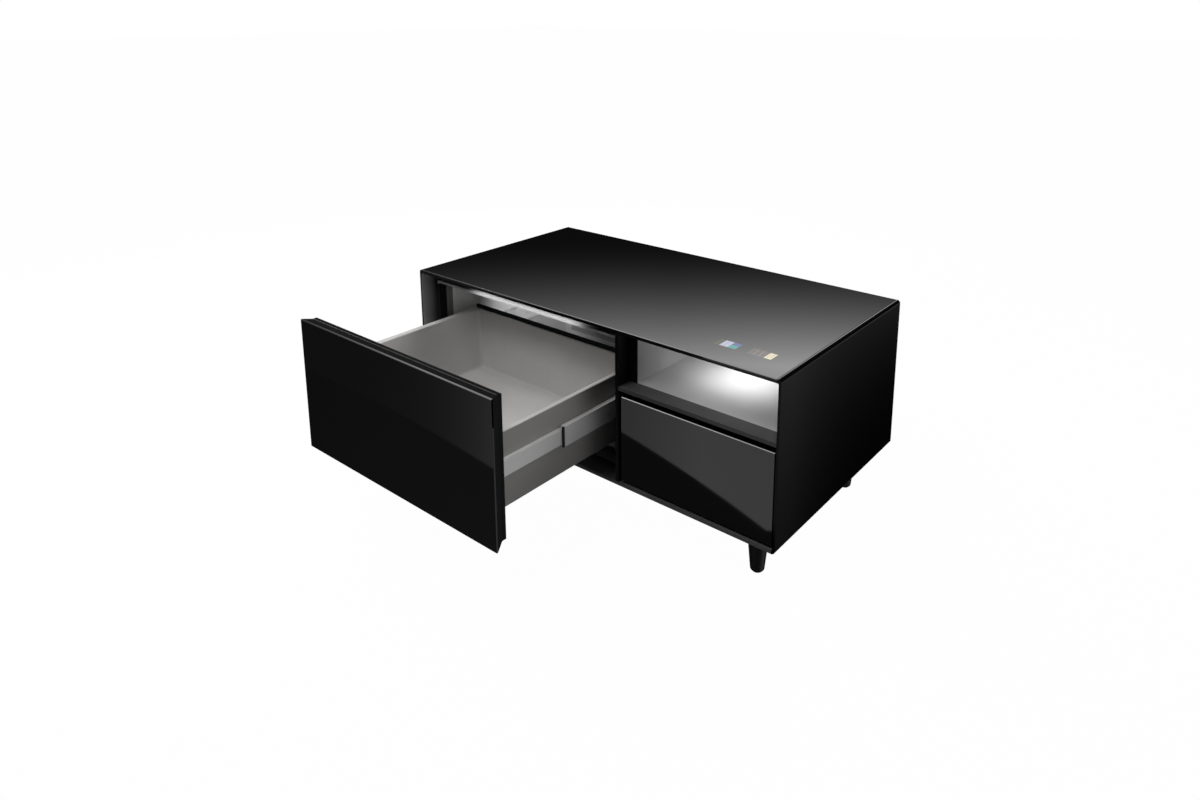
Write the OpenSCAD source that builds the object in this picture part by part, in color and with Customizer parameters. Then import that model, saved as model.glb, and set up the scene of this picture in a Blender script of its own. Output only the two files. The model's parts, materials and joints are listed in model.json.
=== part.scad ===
// Low refrigerated table: a cold drawer on three-section ball slides at the left,
// a lit open niche over a storage drawer at the right, and the cooling plant behind them.
// Each module draws in cabinet places: x from the left side, y from the front, z from the body's underside.

/* [Cabinet] */
// Width of the body
body_w = 1100; // [1040:5:1200]
// Depth of the body
body_d = 578; // [576:2:640]
// Height of the body without the legs
body_h = 376; // [370:1:420]
// Height of the legs
leg_h = 112; // [70:1:160]
// Thickness of each side panel
side_t = 5.5; // [4:0.5:7]
// Width of the rounded shoulder beside the glass
shoulder_w = 8.3; // [8.1:0.1:12]
// Radius of the outer corners, seen from the front
shoulder_r = 8; // [5:0.5:8]
// Thickness of the top glass
glass_t = 4; // [3:0.5:6]
// Thickness of the roof panel under the glass
roof_t = 5; // [4:0.5:8]
// Thickness of the base panel
base_t = 8; // [6:0.5:10]
// Thickness of the divider between the bays
divider_t = 9.2; // [7:0.2:12]
// Thickness of the rear sheet metal
back_t = 1.5; // [1:0.1:2]

/* [Cold bay] */
// Depth from the front to the sealing flange
mouth_d = 63.5; // [62:0.5:70]
// Width of the sealing flange at each side of the cavity
wall_t = 23.5; // [21:0.5:26]
// Height of the sill over the base
sill_h = 20; // [16:0.5:20]
// Distance from the roof panel down to the cavity ceiling
ceiling_drop = 34; // [28:0.5:40]
// Distance from the back of the body to the cavity's back wall
back_wall_t = 40; // [30:1:42]
// Depth of the collar that lines the mouth
collar_d = 21; // [15:0.5:30]
// Thickness of the liners
liner_t = 1.2; // [0.8:0.1:1.6]

/* [Drawer fronts] */
// Distance of a closed front behind the cabinet's front edge
front_recess = 4; // [2:0.5:6]
// Gap at each side of the cold front
cold_reveal = 6; // [4:0.5:7]
// Gap at each side of the small front
small_reveal = 4.7; // [3:0.1:6]
// Gap under both fronts
front_lift = 5.4; // [4:0.1:7]
// Finger gap over the cold front
cold_finger_gap = 24.7; // [20:0.1:26]
// Finger gap over the small front
small_finger_gap = 15.2; // [12:0.1:20]
// Thickness of the glass on the fronts
front_glass_t = 4; // [3:0.5:6]
// Depth of the bevelled frame behind the glass
bevel_d = 21; // [16:0.5:22]
// Depth of the straight back section of a front
front_back_t = 11; // [8:0.5:12]
// How far the bevel draws in at each side
bevel_side = 10.5; // [6:0.5:12]
// How far the bevel draws in at the bottom
bevel_bottom = 9.8; // [6:0.1:10]
// How far the bevel draws in at the top
bevel_top = 3.4; // [2:0.1:5]

/* [Cold drawer] */
// How far the cold drawer stands open
cold_open = 362; // [0:1:440]
// Gap between the closed bin and the evaporator's cover
bin_back_gap = 7; // [5:1:40]
// Height of the bin's underside over the cavity floor
bin_lift = 43; // [30:1:50]
// Outer height of the bin
bin_h = 167.4; // [150:0.2:172]
// Width of the bin's rim
bin_rim = 17; // [12:0.5:20]
// Thickness of the bin's floor
bin_floor_t = 4; // [3:0.5:8]
// How far the bin's inner side walls lean in
bin_side_draft = 22; // [10:1:26]
// How far the bin's inner end walls lean in
bin_end_draft = 12; // [8:1:20]
// Radius of the bin's inner upright corners
bin_corner_r = 24; // [15:1:30]

/* [Slides] */
// Height of the cold drawer's slides
slide_h = 53; // [50:0.5:56]
// Total thickness of a cold drawer slide
slide_t = 18.6; // [17.6:0.1:19.6]
// Distance from the slides' back ends to the cavity's back wall
slide_back_gap = 43; // [30:1:60]
// Height of the slide centres over the cavity floor
slide_lift = 137; // [110:1:150]
// Height of the small drawer's slides
small_slide_h = 45.4; // [44:0.2:50]
// Total thickness of a small drawer slide
small_slide_t = 12.7; // [12.4:0.1:13.4]
// Distance from the small slides' back ends to the bulkhead
small_slide_back_gap = 5.2; // [4:0.2:40]
// Thickness of the slides' sheet steel
sheet_t = 1.5; // [1.2:0.1:1.6]
// Number of balls in each row
balls_per_row = 8; // [4:1:10]

/* [Niche and small drawer] */
// Width of the right bay between divider and side panel
right_bay_w = 399; // [380:1:410]
// Height of the niche from its shelf to the roof panel
niche_h = 124.7; // [110:0.1:130]
// Thickness of the shelf
shelf_t = 9; // [7:0.5:12]
// Depth of the black surround
surround_d = 42; // [30:1:50]
// Width of the surround at each side of the white liner
surround_w = 21.5; // [16:0.5:26]
// Depth of the machine room behind the niche
machine_d = 248; // [244:1:280]
// Distance from the top of the small box to the top of its front
box_drop = 28.1; // [20:0.1:60]
// Gap between the closed small box and the bulkhead
box_back_gap = 8.2; // [6:0.2:40]
// Wall thickness of the small drawer's box
box_wall = 6; // [4:0.5:10]

/* [Legs] */
// Distance of each leg's axis from the side of the body
leg_side_inset = 81.6; // [60:0.2:120]
// Distance of each leg's axis from the front and back
leg_front_inset = 76.9; // [50:0.1:120]
// Radius of a leg at its top
leg_top_r = 25.8; // [20:0.2:32]
// Radius of a leg at its foot
leg_foot_r = 15.7; // [12:0.1:20]
// Radius of the rounding round the foot
leg_edge_r = 5; // [2:0.5:6]

/* [Hidden] */
$fn = 64;

// Overrun of every cut
cut = 1;
// Clearance between pieces that lie side by side without touching
fit = 0.3;

// Cabinet
corner_fillet = 2.5;
glass_gap = 1;
glass_arris = 0.6;
back_recess = 2;
roof_z = body_h - glass_t - roof_t;
inner_left = side_t;
inner_right = body_w - side_t;
divider_right = inner_right - right_bay_w;
divider_left = divider_right - divider_t;
back_y = body_d - back_recess - back_t;
row_y = (cold_open - front_recess - body_d) / 2;

// Cold bay
flange_t = 2.5;
cavity_left = inner_left + wall_t;
cavity_right = divider_left - wall_t;
cavity_floor = base_t + sill_h;
cavity_top = roof_z - ceiling_drop;
cavity_back = body_d - back_wall_t;
collar_back = mouth_d + collar_d;

// Drawer fronts, closed
glass_back = front_recess + front_glass_t;
bevel_back = glass_back + bevel_d;
front_back = bevel_back + front_back_t;
cold_front_left = inner_left + cold_reveal;
cold_front_right = divider_left - cold_reveal;
cold_front_top = roof_z - cold_finger_gap;
front_bottom = base_t + front_lift;
shelf_top = roof_z - niche_h;
shelf_under = shelf_top - shelf_t;
small_front_left = divider_right + small_reveal;
small_front_right = inner_right - small_reveal;
small_front_top = shelf_under - small_finger_gap;
frame_wall = 12;

// Gasket: a foot on the flange, a narrow bellows and a magnet head that meets the drawer front
gasket_foot_w = 12;
gasket_foot_t = 2.5;
gasket_bellows_w = 3;
gasket_head_w = 6;
gasket_head_t = 5;

// Slide sections: the ball gaps between members, and the rows they leave for the balls
slide_front = front_back + 5;
web_gap = 2.5;
ball_gap = 1.5;
inner_web_gap = 2.9;
inner_ball_gap = 4.35;
ball_r = 1.5;
inner_ball_r = 2.6;
race_gap = 0.15;
cage_t = 0.8;
cage_rim = 0.3;
fixed_reach_share = 0.7;
middle_reach_share = 0.833;
middle_web_u = sheet_t + web_gap;
inner_web_u = middle_web_u + sheet_t + inner_web_gap;
slide_z = cavity_floor + slide_lift;
slide_len = cavity_back - slide_back_gap - slide_front;
full_travel_share = 0.978;
cage_margin = 2;

// Cold bin
evaporator_d = 11;
bin_left = cavity_left + slide_t;
bin_right = cavity_right - slide_t;
bin_under = cavity_floor + bin_lift;
bin_top = bin_under + bin_h;
bin_front = front_back;
bin_back = cavity_back - evaporator_d - bin_back_gap;

// Lamps
lamp_d = 12;
lamp_t = 3.6;
lamp_inset = 30;
lamp_setback = 12;
niche_lamp_from_back = 81;
diffuser_t = 1.2;

// Evaporator
evaporator_side = 32;
evaporator_lift = 30;
evaporator_drop = 4;
evaporator_wall = 1.5;
evaporator_sheet_t = 1.6;
evaporator_inset = 8;
channel_w = 6;
channel_t = 1.8;
channel_rows = 8;
air_slot_h = 5;
air_slot_w = 60;
air_slots = 6;

// Niche
surround_t = 2;
niche_ceiling_drop = 17;
liner_left = divider_right + surround_w;
liner_right = inner_right - surround_w;
niche_ceiling = roof_z - niche_ceiling_drop;
niche_d = body_d - machine_d;
liner_back_gap = 9;
bulkhead_t = 3;
bulkhead_y = niche_d + liner_t + liner_back_gap;

// Small drawer
small_slide_lift = 82;
small_slide_z = base_t + small_slide_lift;
small_slide_len = bulkhead_y - small_slide_back_gap - slide_front;
box_lift = 22;
box_floor_t = 5;
box_corner_r = 8;
box_left = divider_right + small_slide_t;
box_right = inner_right - small_slide_t;
box_under = base_t + box_lift;
box_top = small_front_top - box_drop;
box_back = bulkhead_y - box_back_gap;

// Touch keys, set in the glass
key_t = 0.4;
key_d = 32;
key_y = 70;
left_key_w = 53;
right_key_w = 56;
left_key_from_right = 201;
right_key_from_right = 120;
board_margin = 8;
board_t = 1.6;
board_drop = 3;

// Cooling plant
plant_y = bulkhead_y + bulkhead_t;
mount_r = 9;
mount_h = 10;
plate_t = 2;
plate_w = 150;
plate_d = 120;
plate_from_right = 70;
plate_from_back = 40;
can_r = 56;
can_h = 118;
can_dome_h = 26;
can_waist = 4;
condenser_d = 30;
condenser_h = 132;
condenser_from_left = 26;
condenser_from_plate = 25;
condenser_from_bulkhead = 16;
condenser_end_t = 1.5;
fin_t = 0.8;
fin_count = 20;
fan_margin = 4;
fan_d = 25;
fan_wall = 3;
fan_tip_gap = 3;
fan_hub_share = 0.35;
fan_blade_t = 1.6;
fan_blades = 7;
fan_pitch = 38;
fan_arm_w = 5;
fan_arm_t = 3;
fan_motor_gap = 1.5;
tray_w = 100;
tray_d = 90;
tray_h = 18;
tray_wall = 2;
control_w = 150;
control_d = 90;
control_h = 42;
control_z_share = 0.62;
pipe_r = 3;
pipe_rise = 60;
inlet_w = 48;
inlet_h = 28;
inlet_hole_w = 27;
inlet_hole_h = 20;
inlet_d = 22;
inlet_flange_t = 1.6;
inlet_pin_t = 2;
inlet_pin_h = 4;
inlet_pin_gap = 7;
inlet_lift = 150;
inlet_from_right = 60;

// Rear grille and screws
louvre_gap = 14;
louvre_h = 5;
louvre_pitch_z = 15;
louvre_columns = 4;
louvre_rows = 7;
louvre_lift = 24;
louvre_inset = 32;
louvre_from_right = 77;
louvre_pitch_x = (right_bay_w - louvre_inset - louvre_from_right + louvre_gap) / louvre_columns;
louvre_w = louvre_pitch_x - louvre_gap;
screw_r = 3.6;
screw_t = 1.3;
screw_inset = 12;

// Legs
leg_plate_t = 3;
leg_plate_margin = 2;
pad_t = 1.5;
pad_margin = 4;

// A box between two corners
module block(a, b) {
    translate(a) cube(b - a);
}

// An outline in x and z, carried along y
module along_y(y, length) {
    translate([0, y + length, 0]) rotate([90, 0, 0]) linear_extrude(length) children();
}

// An outline in y and z, carried along x
module along_x(x, length) {
    translate([x, 0, 0]) rotate([90, 0, 90]) linear_extrude(length) children();
}

// A rectangle between two corners
module rect(a, b) {
    translate(a) square(b - a);
}

// A rectangle whose corners are cut to clear the fillets of the side panels
module cleared_rect(a, b) {
    c = corner_fillet + fit;
    polygon([
        [a[0] + c, a[1]], [b[0] - c, a[1]], [b[0], a[1] + c], [b[0], b[1] - c],
        [b[0] - c, b[1]], [a[0] + c, b[1]], [a[0], b[1] - c], [a[0], a[1] + c]
    ]);
}

// The corner left between a square and the round inside it
module corner_waste(r) {
    difference() {
        translate([-cut, -cut]) square(r + cut);
        translate([r, r]) circle(r);
    }
}

// Left side panel seen from the front, with its shoulder and foot turned in
module side_outline() {
    difference() {
        square([shoulder_w, body_h]);
        corner_waste(shoulder_r);
        translate([0, body_h]) mirror([0, 1]) corner_waste(shoulder_r);
        difference() {
            rect([side_t, base_t], [shoulder_w + cut, roof_z]);
            translate([side_t, base_t]) corner_waste(corner_fillet);
            translate([side_t, roof_z]) mirror([0, 1]) corner_waste(corner_fillet);
        }
    }
}

module left_side_panel() {
    color("#151517") along_y(0, body_d) side_outline();
}

module right_side_panel() {
    color("#151517") translate([body_w, 0, 0]) mirror([1, 0, 0]) along_y(0, body_d) side_outline();
}

// Plan of one key, grown by a margin
module key_plan(from_right, w, margin) {
    translate([body_w - from_right - margin, key_y - margin]) square([w + 2 * margin, key_d + 2 * margin]);
}

module roof_panel() {
    color("#1b1b1d") difference() {
        block([shoulder_w, 0, roof_z], [body_w - shoulder_w, body_d, roof_z + roof_t]);
        translate([0, 0, roof_z + roof_t - board_drop]) linear_extrude(board_drop + cut)
            board_plan(board_margin + fit);
    }
}

// Plan of the board under both keys
module board_plan(margin) {
    board_w = left_key_from_right - right_key_from_right + right_key_w;
    key_plan(left_key_from_right, board_w, margin);
}

module touch_board() {
    color("#1f5c3a") translate([0, 0, roof_z + roof_t - board_drop]) linear_extrude(board_t)
        board_plan(board_margin);
}

// Outline of the glass's upper edge along a length: square below, with the polished arris at each end
module arris_outline(a, b) {
    top = body_h;
    polygon([
        [a, top - glass_t], [b, top - glass_t], [b, top - glass_arris],
        [b - glass_arris, top], [a + glass_arris, top], [a, top - glass_arris]
    ]);
}

module top_glass() {
    left = shoulder_w + glass_gap;
    right = body_w - shoulder_w - glass_gap;
    color("#0c0c0e") difference() {
        intersection() {
            along_y(0, body_d) arris_outline(left, right);
            along_x(left, right - left) arris_outline(0, body_d);
        }
        translate([0, 0, body_h - key_t]) linear_extrude(key_t + cut) key_plans(fit / 2);
    }
}

module key_plans(margin) {
    key_plan(left_key_from_right, left_key_w, margin);
    key_plan(right_key_from_right, right_key_w, margin);
}

module touch_keys() {
    color("#8fa3b8") translate([0, 0, body_h - key_t]) linear_extrude(key_t) key_plans(0);
}

module base_panel() {
    color("#141416") block([shoulder_w, 0, 0], [body_w - shoulder_w, body_d, base_t]);
}

// Rear sheets lie inside the shell, a little behind its edge
module rear_sheet(left, right) {
    along_y(back_y, back_t) intersection() {
        cleared_rect([inner_left, base_t], [inner_right, roof_z]);
        rect([left, base_t], [right, roof_z]);
    }
}

module back_panel() {
    color("#2a2a2d") rear_sheet(inner_left, divider_left + divider_t / 2 - fit);
}

// One louvre with round ends
module louvre() {
    r = louvre_h / 2;
    translate([r, 0]) square([louvre_w - louvre_h, louvre_h]);
    translate([r, r]) circle(r);
    translate([louvre_w - r, r]) circle(r);
}

module louvres() {
    left = divider_right + louvre_inset;
    for (column = [0 : louvre_columns - 1], row = [0 : louvre_rows - 1])
        translate([left + column * louvre_pitch_x, base_t + louvre_lift + row * louvre_pitch_z]) louvre();
}

// Places a thing at the power inlet, on the rear sheet's outer face
module at_inlet() {
    translate([body_w - inlet_from_right, back_y + back_t, base_t + inlet_lift]) children();
}

module rear_grille() {
    color("#2a2a2d") difference() {
        rear_sheet(divider_left + divider_t / 2, inner_right);
        along_y(back_y - cut, back_t + 2 * cut) louvres();
        at_inlet() translate([-inlet_hole_w / 2 - fit, -back_t - cut, -inlet_hole_h / 2 - fit])
            cube([inlet_hole_w + 2 * fit, back_t + 2 * cut, inlet_hole_h + 2 * fit]);
    }
}

// A row of screw heads down each edge of the rear sheets and beside their joint
module rear_screws() {
    seam = divider_left + divider_t / 2;
    xs = [inner_left + screw_inset, seam - screw_inset, seam + screw_inset, inner_right - screw_inset];
    zs = [base_t + screw_inset, (base_t + roof_z) / 2, roof_z - screw_inset];
    color("#6f7276") for (x = xs, z = zs)
        translate([x, back_y + back_t + screw_t, z]) rotate([90, 0, 0]) cylinder(r = screw_r, h = screw_t);
}

module divider_panel() {
    color("#161618") block([divider_left, 0, base_t], [divider_right, back_y, roof_z]);
}

// The outside of the cavity's lining
module lining_block(y0, y1, grow) {
    block([cavity_left - grow, y0, cavity_floor - grow], [cavity_right + grow, y1, cavity_top + grow]);
}

module cold_liner() {
    color("#e6e7e8") difference() {
        lining_block(collar_back, cavity_back + liner_t, liner_t);
        lining_block(collar_back - cut, cavity_back, 0);
    }
}

module mouth_frame() {
    color("#202022") difference() {
        union() {
            along_y(mouth_d, flange_t) bay_outline();
            lining_block(mouth_d, collar_back, liner_t);
        }
        lining_block(mouth_d - cut, collar_back + cut, 0);
    }
}

// The cold bay seen from the front
module bay_outline() {
    intersection() {
        cleared_rect([inner_left, base_t], [inner_right, roof_z]);
        rect([inner_left, base_t], [divider_left, roof_z]);
    }
}

module insulation() {
    y = mouth_d + flange_t;
    color("#e8d9a8") difference() {
        along_y(y, back_y - y) bay_outline();
        lining_block(y - cut, cavity_back + liner_t, liner_t);
    }
}

// A ring round the cavity's mouth, between two distances out from its edge
module mouth_ring(near, far, y0, y1) {
    difference() {
        lining_block(y0, y1, far);
        lining_block(y0 - cut, y1 + cut, near);
    }
}

module cold_gasket() {
    head_y = front_back + fit;
    mid = fit + gasket_head_w / 2;
    color("#101011") union() {
        mouth_ring(fit, fit + gasket_foot_w, mouth_d - gasket_foot_t, mouth_d);
        mouth_ring(mid - gasket_bellows_w / 2, mid + gasket_bellows_w / 2, head_y, mouth_d);
        mouth_ring(fit, fit + gasket_head_w, head_y, head_y + gasket_head_t);
    }
}

// A lamp bar hung under a ceiling: a channel with its diffuser proud of the mouth
module lamp_bar(left, right, y, top) {
    union() {
        block([left, y, top - lamp_t + diffuser_t], [right, y + lamp_d, top]);
        block([left + diffuser_t, y + diffuser_t, top - lamp_t],
              [right - diffuser_t, y + lamp_d - diffuser_t, top - lamp_t + diffuser_t]);
    }
}

module cold_lamp() {
    color("#f4f6ff")
        lamp_bar(cavity_left + lamp_inset, cavity_right - lamp_inset, collar_back + lamp_setback, cavity_top);
}

// Places of the evaporator's cover
evaporator_left = cavity_left + evaporator_side;
evaporator_right = cavity_right - evaporator_side;
evaporator_under = cavity_floor + evaporator_lift;
evaporator_over = cavity_top - evaporator_drop;

module evaporator_cover() {
    front = cavity_back - evaporator_d;
    pitch = (evaporator_right - evaporator_left) / air_slots;
    color("#eeeff0") difference() {
        block([evaporator_left, front, evaporator_under], [evaporator_right, cavity_back, evaporator_over]);
        block([evaporator_left + evaporator_wall, front + evaporator_wall, evaporator_under + evaporator_wall],
              [evaporator_right - evaporator_wall, cavity_back + cut, evaporator_over - evaporator_wall]);
        for (i = [0 : air_slots - 1], z = [evaporator_under + 3 * air_slot_h, evaporator_over - 4 * air_slot_h])
            translate([evaporator_left + (i + 0.5) * pitch - air_slot_w / 2, front - cut, z])
                cube([air_slot_w, evaporator_wall + 2 * cut, air_slot_h]);
    }
}

// A plate with its refrigerant channel raised in rows that are joined at alternate ends
module evaporator_plate() {
    left = evaporator_left + evaporator_wall + evaporator_inset;
    right = evaporator_right - evaporator_wall - evaporator_inset;
    under = evaporator_under + evaporator_wall + evaporator_inset;
    over = evaporator_over - evaporator_wall - evaporator_inset;
    pitch = (over - under - channel_w - 2 * channel_t) / (channel_rows - 1);
    face = cavity_back - evaporator_sheet_t;
    color("#b9bcc0") union() {
        block([left, face, under], [right, cavity_back, over]);
        for (i = [0 : channel_rows - 1])
            translate([left + channel_w, face - channel_t, under + channel_t + i * pitch])
                cube([right - left - 2 * channel_w, channel_t, channel_w]);
        for (i = [0 : channel_rows - 2]) {
            x = i % 2 == 0 ? right - 2 * channel_w : left + channel_w;
            translate([x, face - channel_t, under + channel_t + i * pitch]) cube([channel_w, channel_t, pitch]);
        }
    }
}

// Heights and rows of a slide's sections, from the height of its fixed member
function middle_h(h) = h - 2 * (sheet_t + ball_gap);
function inner_h(h) = middle_h(h) - 2 * (sheet_t + inner_ball_gap);
function outer_row_v(h) = middle_h(h) / 2 + ball_gap / 2;
function inner_row_v(h) = inner_h(h) / 2 + inner_ball_gap / 2;
function outer_row_u(t) = (middle_web_u + sheet_t + t * fixed_reach_share) / 2;
function inner_row_u(t) = (inner_web_u + t * middle_reach_share) / 2;

// A channel section that opens away from the wall, from u, with a reach and a height
module channel_outline(u, reach, h) {
    difference() {
        rect([u, -h / 2], [reach, h / 2]);
        rect([u + sheet_t, sheet_t - h / 2], [reach + cut, h / 2 - sheet_t]);
    }
}

// The grooves that one pair of ball rows runs in
module race_pair(u, v, r) {
    for (side = [-1, 1]) translate([u, side * v]) circle(r + race_gap);
}

module fixed_outline(h, t) {
    difference() {
        channel_outline(0, t * fixed_reach_share, h);
        race_pair(outer_row_u(t), outer_row_v(h), ball_r);
    }
}

module middle_outline(h, t) {
    difference() {
        channel_outline(middle_web_u, t * middle_reach_share, middle_h(h));
        race_pair(outer_row_u(t), outer_row_v(h), ball_r);
        race_pair(inner_row_u(t), inner_row_v(h), inner_ball_r);
    }
}

module inner_outline(h, t) {
    difference() {
        channel_outline(inner_web_u, t, inner_h(h));
        race_pair(inner_row_u(t), inner_row_v(h), inner_ball_r);
    }
}

// A thin channel round the member inside it, holding a row of balls along each edge
module cage(u, row_u, row_v, r, y, length) {
    pitch = length / balls_per_row;
    reach = row_u + r + cage_rim;
    along_y(y, length) union() {
        rect([u, -row_v - cage_t / 2], [u + cage_t, row_v + cage_t / 2]);
        for (side = [-1, 1]) rect([u, side * row_v - cage_t / 2], [reach, side * row_v + cage_t / 2]);
    }
    for (side = [-1, 1], i = [0 : balls_per_row - 1])
        translate([row_u, y + (i + 0.5) * pitch, side * row_v]) sphere(r, $fn = 24);
}

// A cage stays inside both of its members over the whole travel, so it covers the middle half of them
function cage_len(length) = length * (1 - full_travel_share / 2) - 2 * cage_margin;
function cage_y(length) = slide_front + length * full_travel_share / 4 + cage_margin;

module outer_cage(h, t, length) {
    u = sheet_t + (web_gap - cage_t) / 2;
    cage(u, outer_row_u(t), outer_row_v(h), ball_r, cage_y(length), cage_len(length));
}

module inner_cage(h, t, length) {
    u = inner_web_u - (inner_web_gap + cage_t) / 2;
    cage(u, inner_row_u(t), inner_row_v(h), inner_ball_r, cage_y(length), cage_len(length));
}

// Carries a slide section against the left or the right wall of the cavity
module cold_wall(side) {
    if (side == "left") translate([cavity_left, 0, slide_z]) children();
    if (side == "right") translate([cavity_right, 0, slide_z]) mirror([1, 0, 0]) children();
}

// Carries a slide section against the left or the right wall of the small drawer's bay
module small_wall(side) {
    if (side == "left") translate([divider_right, 0, small_slide_z]) children();
    if (side == "right") translate([inner_right, 0, small_slide_z]) mirror([1, 0, 0]) children();
}

// Moves a piece of the cold drawer's slides to its share of the opening
module opened(share) {
    translate([0, -cold_open * share, 0]) children();
}

module cold_fixed(side) {
    color("#8d9094") cold_wall(side) along_y(slide_front, slide_len) fixed_outline(slide_h, slide_t);
}

module cold_middle(side) {
    color("#9b9ea2") opened(0.5) cold_wall(side)
        along_y(slide_front, slide_len) middle_outline(slide_h, slide_t);
}

module cold_inner(side) {
    color("#c9cbce") opened(1) cold_wall(side)
        along_y(slide_front, slide_len) inner_outline(slide_h, slide_t);
}

module cold_slide_left_fixed() { cold_fixed("left"); }
module cold_slide_right_fixed() { cold_fixed("right"); }
module cold_slide_left_middle() { cold_middle("left"); }
module cold_slide_right_middle() { cold_middle("right"); }
module cold_slide_left_inner() { cold_inner("left"); }
module cold_slide_right_inner() { cold_inner("right"); }

module cold_cages_outer() {
    color("#b08d3c") opened(0.25) for (side = ["left", "right"])
        cold_wall(side) outer_cage(slide_h, slide_t, slide_len);
}

module cold_cages_inner() {
    color("#b08d3c") opened(0.75) for (side = ["left", "right"])
        cold_wall(side) inner_cage(slide_h, slide_t, slide_len);
}

// Front of a drawer that is closed, bevelled: its outline tapers in from the glass to the crease
module bevel_block(left, right, bottom, top) {
    intersection() {
        translate([0, 0, bottom]) linear_extrude(top - bottom) polygon([
            [left, glass_back], [right, glass_back],
            [right - bevel_side, bevel_back], [left + bevel_side, bevel_back]
        ]);
        along_x(left, right - left) polygon([
            [glass_back, bottom], [bevel_back, bottom + bevel_bottom],
            [bevel_back, top - bevel_top], [glass_back, top]
        ]);
    }
}

module cold_front_glass() {
    color("#08080a") opened(1) block([cold_front_left, front_recess, front_bottom],
                                     [cold_front_right, glass_back, cold_front_top]);
}

// The pocket in the frame that holds the insulating core
module core_block(shrink, over) {
    inset = bevel_side + frame_wall + shrink;
    block([cold_front_left + inset, glass_back - over, front_bottom + inset],
          [cold_front_right - inset, bevel_back + over, cold_front_top - inset]);
}

module cold_front_frame() {
    color("#1d1d20") opened(1) difference() {
        bevel_block(cold_front_left, cold_front_right, front_bottom, cold_front_top);
        core_block(0, cut);
    }
}

module cold_front_core() {
    color("#e8d9a8") opened(1) core_block(0, 0);
}

module cold_front_back() {
    color("#121214") opened(1) block(
        [cold_front_left + bevel_side, bevel_back, front_bottom + bevel_bottom],
        [cold_front_right - bevel_side, front_back, cold_front_top - bevel_top]);
}

// A plan with four round corners, lying at a height
module corner_posts(left, right, front, back, r, z, h) {
    for (x = [left + r, right - r], y = [front + r, back - r]) translate([x, y, z]) cylinder(r = r, h = h, $fn = 48);
}

module cold_bin() {
    floor_z = bin_under + bin_floor_t;
    color("#b5b3b0") opened(1) difference() {
        block([bin_left, bin_front, bin_under], [bin_right, bin_back, bin_top]);
        hull() {
            corner_posts(bin_left + bin_rim, bin_right - bin_rim, bin_front + bin_rim, bin_back - bin_rim,
                         bin_corner_r, bin_top, cut);
            corner_posts(bin_left + bin_rim + bin_side_draft, bin_right - bin_rim - bin_side_draft,
                         bin_front + bin_rim + bin_end_draft, bin_back - bin_rim - bin_end_draft,
                         bin_corner_r, floor_z, fit);
        }
    }
}

// The surround faces forward beside and over the white liner
module niche_surround() {
    color("#18181a") along_y(surround_d - surround_t, surround_t) difference() {
        intersection() {
            cleared_rect([inner_left, base_t], [inner_right, roof_z]);
            rect([divider_right, shelf_top], [inner_right, roof_z]);
        }
        rect([liner_left, shelf_top - cut], [liner_right, niche_ceiling]);
    }
}

module niche_shelf() {
    color("#18181a") difference() {
        block([divider_right, 0, shelf_under], [inner_right, bulkhead_y, shelf_top]);
        block([divider_right - cut, surround_d, shelf_top - liner_t], [inner_right + cut, bulkhead_y + cut, shelf_top + cut]);
    }
}

module niche_liner() {
    color("#f2f3f4") difference() {
        block([liner_left - liner_t, surround_d, shelf_top - liner_t],
              [liner_right + liner_t, niche_d + liner_t, niche_ceiling + liner_t]);
        block([liner_left, surround_d - cut, shelf_top], [liner_right, niche_d, niche_ceiling]);
    }
}

module niche_lamp() {
    color("#f4f6ff") lamp_bar(liner_left + lamp_inset, liner_right - lamp_inset,
        niche_d - niche_lamp_from_back - lamp_d, niche_ceiling);
}

module small_slide_left_fixed() {
    color("#8d9094") small_wall("left")
        along_y(slide_front, small_slide_len) fixed_outline(small_slide_h, small_slide_t);
}

module small_slide_right_fixed() {
    color("#8d9094") small_wall("right")
        along_y(slide_front, small_slide_len) fixed_outline(small_slide_h, small_slide_t);
}

module small_slides_middle() {
    color("#9b9ea2") for (side = ["left", "right"])
        small_wall(side) along_y(slide_front, small_slide_len) middle_outline(small_slide_h, small_slide_t);
}

module small_slides_inner() {
    color("#c9cbce") for (side = ["left", "right"])
        small_wall(side) along_y(slide_front, small_slide_len) inner_outline(small_slide_h, small_slide_t);
}

module small_cages_outer() {
    color("#b08d3c") for (side = ["left", "right"])
        small_wall(side) outer_cage(small_slide_h, small_slide_t, small_slide_len);
}

module small_cages_inner() {
    color("#b08d3c") for (side = ["left", "right"])
        small_wall(side) inner_cage(small_slide_h, small_slide_t, small_slide_len);
}

module small_front_glass() {
    color("#08080a") block([small_front_left, front_recess, front_bottom],
                           [small_front_right, glass_back, small_front_top]);
}

module small_front_frame() {
    color("#1d1d20") union() {
        bevel_block(small_front_left, small_front_right, front_bottom, small_front_top);
        block([small_front_left + bevel_side, bevel_back, front_bottom + bevel_bottom],
              [small_front_right - bevel_side, front_back, small_front_top - bevel_top]);
    }
}

// The storage box: straight walls and round inner corners
module small_box() {
    w = box_wall;
    r = box_corner_r;
    inner_w = box_right - box_left - 2 * w;
    inner_d = box_back - front_back - 2 * w;
    color("#3a3a3e") difference() {
        block([box_left, front_back, box_under], [box_right, box_back, box_top]);
        translate([box_left + w, front_back + w, box_under + box_floor_t]) linear_extrude(box_top) union() {
            translate([r, 0]) square([inner_w - 2 * r, inner_d]);
            translate([0, r]) square([inner_w, inner_d - 2 * r]);
            for (x = [r, inner_w - r], y = [r, inner_d - r]) translate([x, y]) circle(r);
        }
    }
}

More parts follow.
